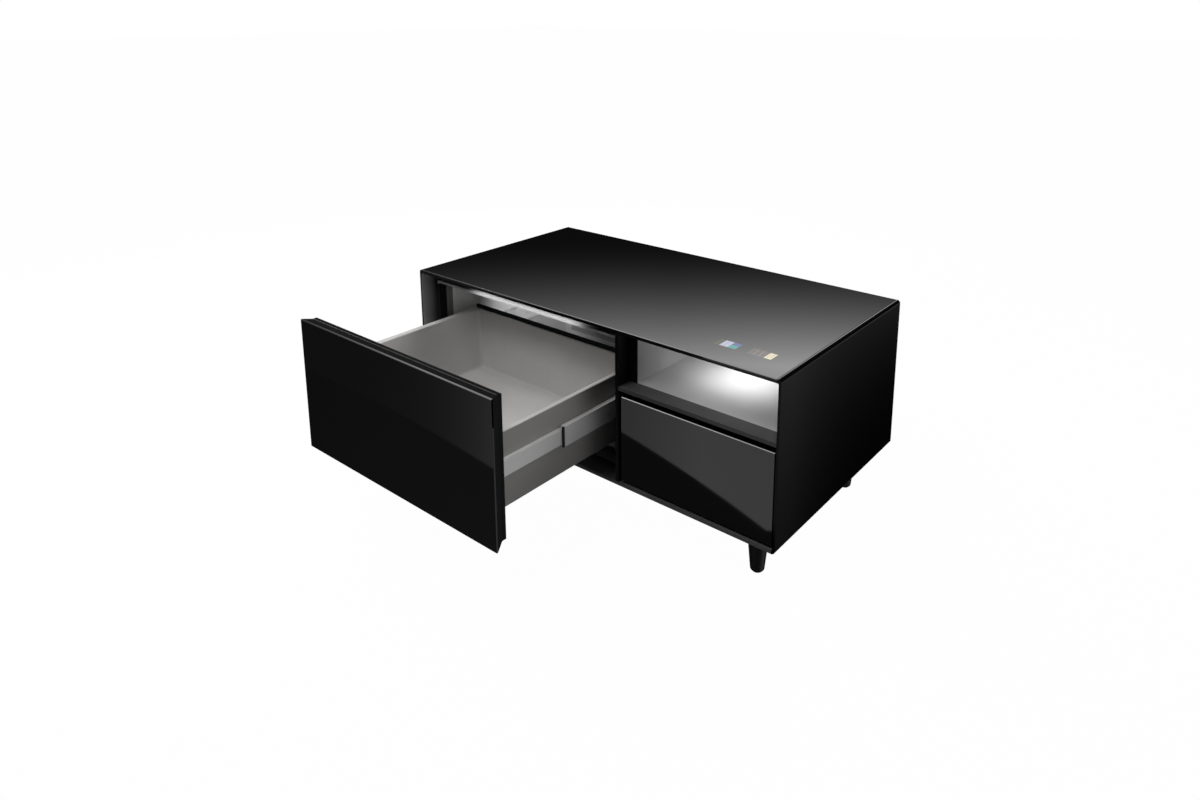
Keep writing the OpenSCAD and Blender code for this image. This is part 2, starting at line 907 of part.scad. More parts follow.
module machine_bulkhead() {
    color("#7d8084") along_y(bulkhead_y, bulkhead_t) intersection() {
        cleared_rect([inner_left, base_t], [inner_right, roof_z]);
        rect([divider_right, base_t], [inner_right, roof_z]);
    }
}

// Centre of the compressor's plate
plate_x = inner_right - plate_from_right - plate_w / 2;
plate_y = back_y - plate_from_back - plate_d / 2;
plate_z = base_t + mount_h;

module compressor_mounts() {
    inset = mount_r + plate_t;
    color("#1a1a1a") for (x = [-1, 1], y = [-1, 1])
        translate([plate_x + x * (plate_w / 2 - inset), plate_y + y * (plate_d / 2 - inset), base_t])
            cylinder(r = mount_r, h = mount_h);
}

// Half section of the hermetic can: foot, straight wall with a weld waist, and dome
module can_outline() {
    dome_z = can_h - can_dome_h;
    weld_z = can_h / 2;
    difference() {
        union() {
            square([can_r, dome_z]);
            intersection() {
                translate([0, dome_z]) scale([1, can_dome_h / can_r]) circle(can_r);
                rect([0, 0], [can_r, can_h]);
            }
            rect([0, weld_z - can_waist / 2], [can_r + can_waist, weld_z + can_waist / 2]);
        }
        rect([-can_r, -cut], [0, can_h + cut]);
    }
}

module compressor() {
    color("#232427") union() {
        translate([plate_x - plate_w / 2, plate_y - plate_d / 2, plate_z]) cube([plate_w, plate_d, plate_t]);
        translate([plate_x, plate_y, plate_z + plate_t]) rotate_extrude() can_outline();
    }
}

// Places of the condenser and its fan
condenser_x = divider_right + condenser_from_left;
condenser_y = plant_y + condenser_from_bulkhead;
condenser_w = plate_x - plate_w / 2 - condenser_from_plate - condenser_x;
fan_side = condenser_w - 2 * fan_margin;
fan_bore_r = fan_side / 2 - fan_wall;
fan_blade_r = fan_bore_r - fan_tip_gap;
fan_hub_r = fan_side / 2 * fan_hub_share;
fan_x = condenser_x + condenser_w / 2;
fan_y = condenser_y + condenser_d;
fan_z = base_t + condenser_h / 2;

// Fins between two end plates, on the pipe rows that carry them
module condenser() {
    pitch = (condenser_w - 2 * condenser_end_t - fin_t) / (fin_count - 1);
    color("#a9acb0") translate([condenser_x, condenser_y, base_t]) union() {
        cube([condenser_end_t, condenser_d, condenser_h]);
        translate([condenser_w - condenser_end_t, 0, 0]) cube([condenser_end_t, condenser_d, condenser_h]);
        for (i = [0 : fin_count - 1])
            translate([condenser_end_t + i * pitch, 0, pipe_r]) cube([fin_t, condenser_d, condenser_h - 2 * pipe_r]);
        for (i = [0 : 3])
            translate([0, condenser_d / 2, condenser_h * (i + 0.5) / 4]) rotate([0, 90, 0])
                cylinder(r = pipe_r, h = condenser_w);
    }
}

module fan_frame() {
    color("#1c1c1e") translate([fan_x, fan_y, fan_z]) union() {
        difference() {
            translate([-fan_side / 2, 0, -fan_side / 2]) cube([fan_side, fan_d, fan_side]);
            translate([0, -cut, 0]) rotate([-90, 0, 0]) cylinder(r = fan_bore_r, h = fan_d + 2 * cut);
        }
        translate([0, fan_d - fan_arm_t, 0]) rotate([-90, 0, 0]) cylinder(r = fan_hub_r, h = fan_arm_t);
        for (turn = [0 : 90 : 270]) rotate([0, turn, 0])
            translate([0, fan_d - fan_arm_t, -fan_arm_w / 2]) cube([fan_bore_r + fan_arm_t, fan_arm_t, fan_arm_w]);
    }
}

// Hub with pitched blades, cut to a round outline
module fan_rotor() {
    depth = fan_d - fan_arm_t - fan_motor_gap - fit;
    blade = depth / sin(fan_pitch) / 2;
    color("#2c2c30") translate([fan_x, fan_y + fan_motor_gap, fan_z]) rotate([-90, 0, 0]) union() {
        cylinder(r = fan_hub_r, h = depth);
        intersection() {
            cylinder(r = fan_blade_r, h = depth);
            for (i = [0 : fan_blades - 1]) rotate([0, 0, i * 360 / fan_blades])
                translate([fan_hub_r - fan_blade_t, 0, depth / 2]) rotate([90 - fan_pitch, 0, 0])
                    translate([0, -fan_blade_t / 2, -blade]) cube([fan_blade_r, fan_blade_t, 2 * blade]);
        }
    }
}

// The defrost water's tray sits on the compressor's warm dome
module drip_tray() {
    z = plate_z + plate_t + can_h;
    color("#55585c") translate([plate_x - tray_w / 2, plate_y - tray_d / 2, z]) difference() {
        cube([tray_w, tray_d, tray_h]);
        translate([tray_wall, tray_wall, tray_wall])
            cube([tray_w - 2 * tray_wall, tray_d - 2 * tray_wall, tray_h]);
    }
}

module control_box() {
    z = base_t + (roof_z - base_t) * control_z_share;
    color("#d5d6d2") block([condenser_x, plant_y, z],
                           [condenser_x + control_w, plant_y + control_d, z + control_h]);
}

// A pipe through a row of places, with round elbows
module pipe(places) {
    for (i = [0 : len(places) - 2]) {
        run = places[i + 1] - places[i];
        tilt = run[2] != 0 ? [run[2] > 0 ? 0 : 180, 0, 0] : run[0] != 0 ? [0, sign(run[0]) * 90, 0] : [-sign(run[1]) * 90, 0, 0];
        translate(places[i]) rotate(tilt) cylinder(r = pipe_r, h = norm(run));
    }
    for (i = [1 : len(places) - 2]) translate(places[i]) sphere(pipe_r, $fn = 32);
}

// Discharge from the can to the condenser, and suction from the cold box's wall back to the can
module copper_pipes() {
    wall = can_r + fit;
    low = plate_z + plate_t + can_h / 4;
    high = plate_z + plate_t + can_h + tray_h + pipe_rise;
    condenser_end = condenser_x + condenser_w + fit;
    condenser_mid = condenser_y + condenser_d / 2;
    top_row = base_t + condenser_h * 7 / 8;
    side = plate_x - can_r - pipe_rise / 2;
    color("#b87333") union() {
        pipe([[plate_x - wall, plate_y, low], [side, plate_y, low], [side, plate_y, top_row],
              [side, condenser_mid, top_row], [condenser_end, condenser_mid, top_row]]);
        pipe([[plate_x + wall, plate_y, low], [plate_x + wall + pipe_rise / 4, plate_y, low],
              [plate_x + wall + pipe_rise / 4, plate_y, high],
              [divider_right, plate_y, high]]);
    }
}

module power_inlet() {
    color("#121214") at_inlet() difference() {
        union() {
            translate([-inlet_w / 2, 0, -inlet_h / 2]) cube([inlet_w, inlet_flange_t, inlet_h]);
            translate([-inlet_hole_w / 2, -inlet_d, -inlet_hole_h / 2]) cube([inlet_hole_w, inlet_d, inlet_hole_h]);
        }
        difference() {
            translate([inlet_pin_t - inlet_hole_w / 2, inlet_pin_t - inlet_d, inlet_pin_t - inlet_hole_h / 2])
                cube([inlet_hole_w - 2 * inlet_pin_t, inlet_d + inlet_flange_t, inlet_hole_h - 2 * inlet_pin_t]);
            for (i = [-1 : 1])
                translate([i * inlet_pin_gap - inlet_pin_t / 2, -inlet_d, -inlet_pin_h / 2])
                    cube([inlet_pin_t, inlet_d - inlet_flange_t, inlet_pin_h]);
        }
    }
}

// The four places of the legs
leg_places = [
    [leg_side_inset, leg_front_inset], [body_w - leg_side_inset, leg_front_inset],
    [leg_side_inset, body_d - leg_front_inset], [body_w - leg_side_inset, body_d - leg_front_inset]
];

// Half section of a leg, hung from its plate, with its foot's edge rounded
module leg_outline() {
    under = pad_t - leg_h;
    r = leg_edge_r;
    difference() {
        polygon([
            [0, under], [leg_foot_r, under], [leg_foot_r, under + r],
            [leg_top_r, 0], [0, 0]
        ]);
        translate([leg_foot_r, under]) mirror([1, 0]) corner_waste(r);
        rect([-cut, -leg_plate_t], [leg_top_r - leg_plate_margin, cut]);
        rect([-leg_top_r, -leg_h], [0, cut]);
    }
}

module leg(i) {
    color("#0d0d0e") translate(leg_places[i]) rotate_extrude() leg_outline();
}

module leg_front_left() { leg(0); }
module leg_front_right() { leg(1); }
module leg_back_left() { leg(2); }
module leg_back_right() { leg(3); }

module leg_plates() {
    color("#6f7276") for (place = leg_places) translate([place[0], place[1], -leg_plate_t])
        cylinder(r = leg_top_r - leg_plate_margin, h = leg_plate_t);
}

module foot_pads() {
    color("#1a1a1a") for (place = leg_places) translate([place[0], place[1], -leg_h])
        cylinder(r = leg_foot_r - pad_margin, h = pad_t);
}

// Stands the cabinet on the ground, centred between the open drawer's front and the back
module placed() {
    translate([-body_w / 2, row_y, leg_h]) children();
}

placed() left_side_panel();
placed() right_side_panel();
placed() roof_panel();
placed() top_glass();
placed() touch_keys();
placed() touch_board();
placed() base_panel();
placed() back_panel();
placed() rear_grille();
placed() rear_screws();
placed() divider_panel();
placed() cold_liner();
placed() mouth_frame();
placed() insulation();
placed() cold_gasket();
placed() cold_lamp();
placed() evaporator_plate();
placed() evaporator_cover();
placed() cold_slide_left_fixed();
placed() cold_slide_right_fixed();
placed() niche_surround();
placed() niche_shelf();
placed() niche_liner();
placed() niche_lamp();
placed() small_slide_left_fixed();
placed() small_slide_right_fixed();
placed() machine_bulkhead();
placed() compressor_mounts();
placed() compressor();
placed() condenser();
placed() fan_frame();
placed() fan_rotor();
placed() drip_tray();
placed() control_box();
placed() copper_pipes();
placed() power_inlet();
placed() leg_front_left();
placed() leg_front_right();
placed() leg_back_left();
placed() leg_back_right();
placed() leg_plates();
placed() foot_pads();
placed() cold_front_glass();
placed() cold_front_frame();
placed() cold_front_core();
placed() cold_front_back();
placed() cold_bin();
placed() cold_slide_left_inner();
placed() cold_slide_right_inner();
placed() cold_slide_left_middle();
placed() cold_slide_right_middle();
placed() cold_cages_outer();
placed() cold_cages_inner();
placed() small_front_glass();
placed() small_front_frame();
placed() small_box();
placed() small_slides_inner();
placed() small_slides_middle();
placed() small_cages_outer();
placed() small_cages_inner();
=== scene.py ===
import json
import math

import bmesh
import bpy
from mathutils import Matrix, Vector


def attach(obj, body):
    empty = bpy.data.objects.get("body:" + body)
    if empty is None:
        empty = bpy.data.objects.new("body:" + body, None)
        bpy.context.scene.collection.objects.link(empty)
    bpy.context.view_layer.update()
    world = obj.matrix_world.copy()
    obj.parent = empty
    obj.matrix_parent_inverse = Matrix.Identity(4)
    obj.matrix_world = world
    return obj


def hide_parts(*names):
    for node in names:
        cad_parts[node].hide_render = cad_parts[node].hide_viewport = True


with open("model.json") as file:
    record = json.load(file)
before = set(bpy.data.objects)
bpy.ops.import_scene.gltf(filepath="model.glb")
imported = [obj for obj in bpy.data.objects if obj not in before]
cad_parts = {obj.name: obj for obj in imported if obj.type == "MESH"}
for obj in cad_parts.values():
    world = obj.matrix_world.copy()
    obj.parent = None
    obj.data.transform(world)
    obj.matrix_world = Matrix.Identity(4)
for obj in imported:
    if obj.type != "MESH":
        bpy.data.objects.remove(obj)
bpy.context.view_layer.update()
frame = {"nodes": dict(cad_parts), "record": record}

print("frame loaded:", len(frame["nodes"]), "nodes")


# A place in the cabinet's own millimetres (x from its left side, y from its front, z from its underside)
def place(x, y, z):
    return Vector((x - 550, y - 110, z + 112)) / 1000


# Camera, matched to the photo's vanishing points
viewPoint = {"where": (1.2846, -1.4734, 1.1925), "tilt": 77.86, "turn": 39.15, "lens": 25.79,
             "shift": (-0.0237, -0.178)}
cameraData = bpy.data.cameras.new("camera")
cameraData.lens = viewPoint["lens"]
cameraData.sensor_width = 36
cameraData.shift_x, cameraData.shift_y = viewPoint["shift"]
cameraData.clip_end = 200
camera = bpy.data.objects.new("camera", cameraData)
camera.location = viewPoint["where"]
camera.rotation_euler = (math.radians(viewPoint["tilt"]), 0, math.radians(viewPoint["turn"]))
bpy.context.scene.collection.objects.link(camera)
bpy.context.scene.camera = camera
bpy.context.scene.view_settings.view_transform = "Standard"


# Small helpers for node materials
class Finish:
    def __init__(self, name):
        self.material = bpy.data.materials.new(name)
        self.material.use_nodes = True
        self.nodes = self.material.node_tree.nodes
        self.links = self.material.node_tree.links
        self.shader = self.nodes["Principled BSDF"]
        self.coords = self.nodes.new("ShaderNodeTexCoord")
        self.spot = self.coords.outputs["Object"]

    def feed(self, socket, value):
        if isinstance(value, bpy.types.NodeSocket):
            self.links.new(value, socket)
        else:
            socket.default_value = value

    def sums(self, operation, first, second=0.5, third=0.5):
        node = self.nodes.new("ShaderNodeMath")
        node.operation = operation
        for socket, value in zip(node.inputs, (first, second, third)):
            self.feed(socket, value)
        return node.outputs[0]

    def stretched(self, scale):
        node = self.nodes.new("ShaderNodeMapping")
        self.feed(node.inputs["Vector"], self.spot)
        node.inputs["Scale"].default_value = scale
        return node.outputs[0]

    def noise(self, scale, detail=3.0, rough=0.5, source=None, twist=0.0):
        node = self.nodes.new("ShaderNodeTexNoise")
        self.feed(node.inputs["Vector"], source or self.spot)
        node.inputs["Scale"].default_value = scale
        node.inputs["Detail"].default_value = detail
        node.inputs["Roughness"].default_value = rough
        node.inputs["Distortion"].default_value = twist
        return node.outputs["Fac"]

    def cells(self, scale):
        node = self.nodes.new("ShaderNodeTexVoronoi")
        self.feed(node.inputs["Vector"], self.spot)
        node.inputs["Scale"].default_value = scale
        return node.outputs["Distance"]

    def spread(self, value, low, high, outLow, outHigh):
        node = self.nodes.new("ShaderNodeMapRange")
        self.feed(node.inputs["Value"], value)
        for name, number in zip(("From Min", "From Max", "To Min", "To Max"), (low, high, outLow, outHigh)):
            self.feed(node.inputs[name], number)
        return node.outputs[0]

    def blend(self, share, first, second):
        node = self.nodes.new("ShaderNodeMix")
        node.data_type = "RGBA"
        self.feed(node.inputs["Factor"], share)
        for socket, colour in ((node.inputs["A"], first), (node.inputs["B"], second)):
            self.feed(socket, colour if isinstance(colour, bpy.types.NodeSocket) else (*colour, 1))
        return node.outputs["Result"]

    def axis(self, source=None):
        node = self.nodes.new("ShaderNodeSeparateXYZ")
        self.feed(node.inputs[0], source or self.spot)
        return node.outputs

    def bump(self, height, strength, depth, under=None):
        node = self.nodes.new("ShaderNodeBump")
        self.feed(node.inputs["Height"], height)
        node.inputs["Strength"].default_value = strength
        node.inputs["Distance"].default_value = depth
        if under:
            self.links.new(under, node.inputs["Normal"])
        return node.outputs[0]

    # Share of a face that looks along an axis by more than a limit
    def facing(self, axis, limit=0.5):
        return self.sums("GREATER_THAN", self.axis(self.coords.outputs["Normal"])[axis], limit)

    def tint(self, share, colour):
        plain = self.shader.inputs["Base Color"].links[0].from_socket
        self.set({"Base Color": self.blend(share, plain, colour)})

    def set(self, values):
        for name, value in values.items():
            socket = self.shader.inputs[name]
            if isinstance(value, tuple):
                value = (*value, 1)
            self.feed(socket, value)
        return self.material


finishes = {}


# Moulded plastic and powder paint: a fine texture, a slow drift of colour and gloss, and a few rubbed spots
def mouldedFinish(name, look):
    finish = Finish(name)
    drift = finish.noise(look.get("driftScale", 9), 3, 0.6)
    fine = finish.noise(look.get("grainScale", 900), 2, 0.5)
    rubbed = finish.spread(finish.noise(look.get("driftScale", 9) * 3, 5, 0.7), 0.55, 0.75, 0, 1)
    base = look["colour"]
    vary = look.get("vary", 0.12)
    colour = finish.blend(finish.spread(drift, 0.3, 0.7, 0, 1), tuple(c * (1 - vary) for c in base),
                          tuple(min(1, c * (1 + vary)) for c in base))
    colour = finish.blend(finish.sums("MULTIPLY", fine, look.get("fleck", 0.12)), colour,
                          look.get("fleckColour", (0.5, 0.5, 0.5)))
    rough = finish.sums("MULTIPLY_ADD", rubbed, -look.get("rub", 0.06), look["rough"])
    rough = finish.sums("MULTIPLY_ADD", drift, look.get("roughDrift", 0.05), rough)
    normal = finish.bump(fine, look.get("grain", 0.12), 0.0004)
    finishes[name] = finish.set({"Base Color": colour, "Roughness": rough, "Normal": normal,
                                 "Metallic": look.get("metal", 0.0)})
    finish.shader.inputs["Specular IOR Level"].default_value = look.get("shine", 0.5)
    return finish


# Dark glass backed with black: faint wiping marks and dust, and a polished chamfer along its upper arris whose pale
# metallic colour is a painted highlight
def glassFinish(name, look):
    finish = Finish(name)
    wiped = finish.noise(3.2, 4, 0.6, finish.stretched((1.0, 2.4, 1.0)), 0.8)
    dust = finish.spread(finish.noise(1400, 2, 0.6), 0.70, 0.80, 0, 1)
    rough = finish.sums("MULTIPLY_ADD", finish.spread(wiped, 0.45, 0.7, 0, 1), look["smear"], look["rough"])
    rough = finish.sums("MULTIPLY_ADD", dust, 0.05, rough)
    faces = finish.axis(finish.coords.outputs["Normal"])
    arrisHighlight = finish.sums("MULTIPLY", finish.sums("GREATER_THAN", faces[2], 0.5), finish.sums("LESS_THAN", faces[2], 0.9))
    arrisHighlight = finish.sums("MULTIPLY", arrisHighlight, finish.sums("GREATER_THAN", finish.sums("ABSOLUTE", faces[1]), 0.4))
    ground = finish.spread(finish.noise(500, 3, 0.6), 0.3, 0.7, 0.85, 1.0)
    colour = finish.blend(finish.sums("MULTIPLY", arrisHighlight, ground), look["colour"], look["arrisHighlightColour"])
    rough = finish.sums("MULTIPLY_ADD", arrisHighlight, look["arrisRough"], rough)
    finishes[name] = finish.set({"Base Color": colour, "Roughness": rough,
                                 "Metallic": finish.sums("MULTIPLY", arrisHighlight, 0.95)})
    finish.shader.inputs["IOR"].default_value = 1.5


# Rolled steel or aluminium: streaks along the rolling direction and the slow cloud of the plating
def rolledFinish(name, look):
    finish = Finish(name)
    streak = finish.noise(1.0, 4, 0.6, finish.stretched(look["stretch"]))
    cloud = finish.noise(look.get("cloudScale", 24), 4, 0.65, None, 0.6)
    colour = finish.blend(finish.spread(cloud, 0.3, 0.7, 0, 1), look["colour"], look["second"])
    colour = finish.blend(finish.spread(streak, 0.55, 0.8, 0, look.get("streakShare", 0.35)), colour, look["streak"])
    rough = finish.sums("MULTIPLY_ADD", finish.spread(streak, 0.3, 0.7, -1, 1), look.get("roughSpread", 0.07),
                        look["rough"])
    normal = finish.bump(streak, look.get("groove", 0.08), 0.0003)
    finishes[name] = finish.set({"Base Color": colour, "Roughness": rough, "Normal": normal, "Metallic": look["metal"]})


# The finishes, one dictionary of values each
satinBlack = {"colour": (0.0014, 0.0014, 0.0016), "rough": 0.06, "vary": 0.1, "fleck": 0.001, "grain": 0.012,
              "grainScale": 1500, "rub": 0.015, "roughDrift": 0.015, "shine": 0.5}
mouldedFinish("satin_black_shell", satinBlack)
# The arris colours are painted highlights, brightest on the small front and dimmest on the cold front
topGlassLook = {"colour": (0.0012, 0.0012, 0.0014), "rough": 0.014, "smear": 0.01, "arrisHighlightColour": (0.52, 0.52, 0.52),
                "arrisRough": 0.12}
glassFinish("black_glass", topGlassLook)
glassFinish("front_glass", dict(topGlassLook, arrisHighlightColour=(0.19, 0.19, 0.195)))
glassFinish("small_glass", dict(topGlassLook, arrisHighlightColour=(0.58, 0.58, 0.585)))
mouldedFinish("leg_black", {"colour": (0.003, 0.003, 0.0034), "rough": 0.3, "fleck": 0.003, "grain": 0.04, "shine": 0.3})
mouldedFinish("matt_black", {"colour": (0.0022, 0.0022, 0.0024), "rough": 0.5, "fleck": 0.002, "grain": 0.06,
                             "shine": 0.1})
mouldedFinish("roof_black", {"colour": (0.004, 0.004, 0.0045), "rough": 0.3, "fleck": 0.003, "grain": 0.05,
                             "shine": 0.18})
mouldedFinish("shelf_black", {"colour": (0.066, 0.066, 0.067), "rough": 0.38, "fleck": 0.005, "grain": 0.05,
                              "shine": 0.3})
# The beads' paler grey is a painted highlight along the fronts' frame tops
mouldedFinish("bead_highlight_grey", {"colour": (0.12, 0.12, 0.122), "rough": 0.35, "fleck": 0.01, "grain": 0.04, "shine": 0.35})
mouldedFinish("base_black", {"colour": (0.10, 0.10, 0.101), "rough": 0.4, "fleck": 0.008, "grain": 0.06, "shine": 0.3})
# The evaporator cover's grey is a painted shade, darker than the liner to stand for the shade at the back of the bay
mouldedFinish("duct_shade_grey", {"colour": (0.36, 0.36, 0.365), "rough": 0.42, "vary": 0.04, "fleck": 0.04, "grain": 0.08,
                            "shine": 0.3})
mouldedFinish("rear_steel", {"colour": (0.030, 0.030, 0.033), "rough": 0.42, "fleck": 0.03, "grain": 0.25,
                             "grainScale": 1100})
mouldedFinish("white_liner", {"colour": (0.68, 0.68, 0.68), "rough": 0.32, "vary": 0.03, "fleck": 0.02, "grain": 0.06})
mouldedFinish("box_grey", {"colour": (0.045, 0.045, 0.05), "rough": 0.45, "fleck": 0.05, "grain": 0.15})
mouldedFinish("gasket_rubber", {"colour": (0.005, 0.005, 0.0055), "rough": 0.62, "fleck": 0.008, "grain": 0.15,
                                "grainScale": 500})
mouldedFinish("fan_plastic", {"colour": (0.02, 0.02, 0.022), "rough": 0.4, "fleck": 0.02, "grain": 0.1})
mouldedFinish("tray_plastic", {"colour": (0.11, 0.115, 0.12), "rough": 0.42, "grain": 0.1})
mouldedFinish("control_housing", {"colour": (0.66, 0.66, 0.62), "rough": 0.46, "vary": 0.05, "grain": 0.12})
mouldedFinish("compressor_enamel", {"colour": (0.012, 0.012, 0.014), "rough": 0.26, "fleck": 0.01, "grain": 0.12,
                                    "grainScale": 260})
rolledFinish("zinc_steel", {"colour": (0.60, 0.61, 0.62), "second": (0.52, 0.53, 0.55), "streak": (0.74, 0.74, 0.73),
                            "stretch": (900, 9, 900), "rough": 0.36, "metal": 0.55})
rolledFinish("bright_zinc", {"colour": (0.96, 0.96, 0.95), "second": (0.92, 0.92, 0.915), "streak": (0.98, 0.98, 0.97),
                             "stretch": (900, 7, 900), "rough": 0.24, "roughSpread": 0.02, "metal": 0.03,
                             "groove": 0.008})
rolledFinish("dark_zinc", {"colour": (0.94, 0.94, 0.94), "second": (0.90, 0.90, 0.90), "streak": (0.96, 0.96, 0.96),
                           "stretch": (900, 7, 900), "rough": 0.3, "roughSpread": 0.02, "metal": 0.03, "groove": 0.008})
rolledFinish("pale_zinc", {"colour": (0.78, 0.78, 0.775), "second": (0.72, 0.72, 0.72), "streak": (0.86, 0.86, 0.85),
                           "stretch": (900, 7, 900), "rough": 0.35, "roughSpread": 0.04, "metal": 0.2, "groove": 0.02})
mouldedFinish("niche_white", {"colour": (0.50, 0.50, 0.50), "rough": 0.34, "vary": 0.03, "fleck": 0.02, "grain": 0.06})
mouldedFinish("coated_white", {"colour": (0.78, 0.78, 0.78), "rough": 0.4, "vary": 0.03, "fleck": 0.02, "grain": 0.08})
rolledFinish("roll_bond_aluminium", {"colour": (0.70, 0.71, 0.72), "second": (0.62, 0.63, 0.65),
                                     "streak": (0.8, 0.8, 0.8), "stretch": (8, 700, 700), "rough": 0.34,
                                     "metal": 0.9})
rolledFinish("copper", {"colour": (0.60, 0.25, 0.12), "second": (0.45, 0.18, 0.09), "streak": (0.85, 0.45, 0.28),
                        "stretch": (300, 300, 40), "rough": 0.3, "metal": 1.0})
rolledFinish("brass_cage", {"colour": (0.62, 0.45, 0.16), "second": (0.5, 0.36, 0.13), "streak": (0.8, 0.65, 0.35),
                            "stretch": (700, 12, 700), "rough": 0.32, "metal": 0.9})


# Polished shell with a duller front edge, which faces the room
def edgedFinish(name, look):
    finish = mouldedFinish(name, look)
    ahead = finish.sums("LESS_THAN", finish.axis(finish.coords.outputs["Normal"])[1], look["edgeFrom"])
    finish.set({"Specular IOR Level": finish.sums("MULTIPLY_ADD", ahead, look["edgeShine"] - look["shine"],
                                                  look["shine"])})


# Black shell whose face looking towards +x (on the left panel, the face towards the cold bay) is tinted paler as
# painted light, darker the further it lies from the front
def paintedLightSideFinish(name, look):
    finish = mouldedFinish(name, look)
    paintedLightFade = finish.spread(finish.axis()[1], place(0, look["paleFrom"], 0).y, place(0, look["paleTo"], 0).y, 1,
                         look["least"])
    finish.tint(finish.sums("MULTIPLY", finish.facing(0), paintedLightFade), look["pale"])


edgedFinish("side_shell", dict(satinBlack, edgeFrom=-0.15, edgeShine=0.06))
# The paler faces towards +x on the left panel, the fronts' trim and the mouth flange are painted light
paintedLightSideFinish("left_shell", dict(satinBlack, pale=(0.46, 0.46, 0.465), paleFrom=0, paleTo=46, least=0.2))
paintedLightSideFinish("dark_trim", {"colour": (0.0028, 0.0028, 0.003), "rough": 0.5, "fleck": 0.002, "grain": 0.05, "shine": 0.025,
                         "pale": (0.017, 0.017, 0.018), "paleFrom": -400, "paleTo": 600, "least": 1.0})
paintedLightSideFinish("flange_black", {"colour": (0.0024, 0.0024, 0.0026), "rough": 0.45, "fleck": 0.002, "grain": 0.06,
                            "shine": 0.15, "pale": (0.20, 0.20, 0.20), "paleFrom": 60, "paleTo": 90, "least": 0.9})


# Bin: pale grey inside; the outer face of the right wall, beside the right slide, is tinted a darker grey as a painted
# shade
def binPaintedShadeFinish(name, look):
    finish = mouldedFinish(name, look)
    paintedShade = finish.spread(finish.axis()[0], place(look["shadeFrom"], 0, 0).x,
                           place(look["shadeFrom"] + 1, 0, 0).x, 0, 1)
    finish.tint(finish.sums("MULTIPLY", finish.facing(0), paintedShade), look["outer"])


# The darker grey on the outside of the right wall is a painted shade
binPaintedShadeFinish("grey_bin", {"colour": (0.58, 0.568, 0.555), "rough": 0.38, "vary": 0.04, "fleck": 0.05,
                       "fleckColour": (0.62, 0.61, 0.60), "grain": 0.08, "shine": 0.22,
                       "outer": (0.41, 0.401, 0.391), "shadeFrom": 639})


# Gasket: black rubber, with a pale silicone run along the top that carries the mouth's light
def sealFinish(name, look):
    finish = mouldedFinish(name, look)
    over = finish.spread(finish.axis()[2], place(0, 0, look["paleOver"]).z, place(0, 0, look["paleOver"] + 2).z, 0, 1)
    finish.tint(over, look["pale"])


sealFinish("door_seal", {"colour": (0.004, 0.004, 0.0045), "rough": 0.6, "fleck": 0.006, "grain": 0.12,
                         "grainScale": 700, "shine": 0.2, "pale": (0.66, 0.66, 0.66), "paleOver": 330})


# Polyurethane foam: a skin over small cells
def foamFinish(name, look):
    finish = Finish(name)
    cell = finish.cells(look["cellScale"])
    cloud = finish.noise(14, 4, 0.6)
    colour = finish.blend(finish.spread(cloud, 0.3, 0.7, 0, 1), look["colour"], look["second"])
    colour = finish.blend(finish.spread(cell, 0.0, 0.5, 0.4, 0), colour, look["pit"])
    normal = finish.bump(cell, 0.6, 0.001, finish.bump(cloud, 0.4, 0.004))
    finishes[name] = finish.set({"Base Color": colour, "Roughness": 0.85, "Normal": normal})


foamFinish("foam", {"colour": (0.72, 0.60, 0.34), "second": (0.80, 0.69, 0.44), "pit": (0.45, 0.35, 0.17),
                    "cellScale": 420})


# Circuit board: green resist, copper runs under it and rows of pads
def boardFinish(name, look):
    finish = Finish(name)
    runs = finish.nodes.new("ShaderNodeTexBrick")
    finish.feed(runs.inputs["Vector"], finish.stretched((170, 240, 1)))
    runs.inputs["Scale"].default_value = 1
    runs.inputs["Mortar Size"].default_value = 0.06
    pads = finish.spread(finish.cells(330), 0.16, 0.2, 1, 0)
    colour = finish.blend(runs.outputs["Fac"], look["resist"], look["run"])
    colour = finish.blend(pads, colour, look["pad"])
    finishes[name] = finish.set({"Base Color": colour, "Roughness": 0.35,
                                 "Metallic": finish.sums("MULTIPLY", pads, 0.8),
                                 "Normal": finish.bump(runs.outputs["Fac"], 0.4, 0.0002)})


boardFinish("circuit_board", {"resist": (0.012, 0.10, 0.04), "run": (0.03, 0.19, 0.07), "pad": (0.75, 0.62, 0.3)})


# Lamp: an opal lens with a row of diodes showing faintly through it
def lampFinish(name, look):
    finish = Finish(name)
    across = finish.axis()[0]
    dots = finish.sums("PINGPONG", across, look["pitch"] / 2)
    glow = finish.spread(dots, 0, look["pitch"] / 2, look["dim"], look["bright"])
    frost = finish.noise(700, 2)
    finishes[name] = finish.set({"Base Color": (0.85, 0.86, 0.88),
                                 "Roughness": finish.spread(frost, 0.3, 0.7, 0.4, 0.55),
                                 "Emission Color": look["light"], "Emission Strength": glow})


lampFinish("cold_lamp_lens", {"pitch": 0.016, "dim": 0.5, "bright": 0.8, "light": (1.0, 1.0, 1.0)})
lampFinish("niche_lamp_lens", {"pitch": 0.016, "dim": 0.8, "bright": 1.3, "light": (1.0, 1.0, 1.0)})


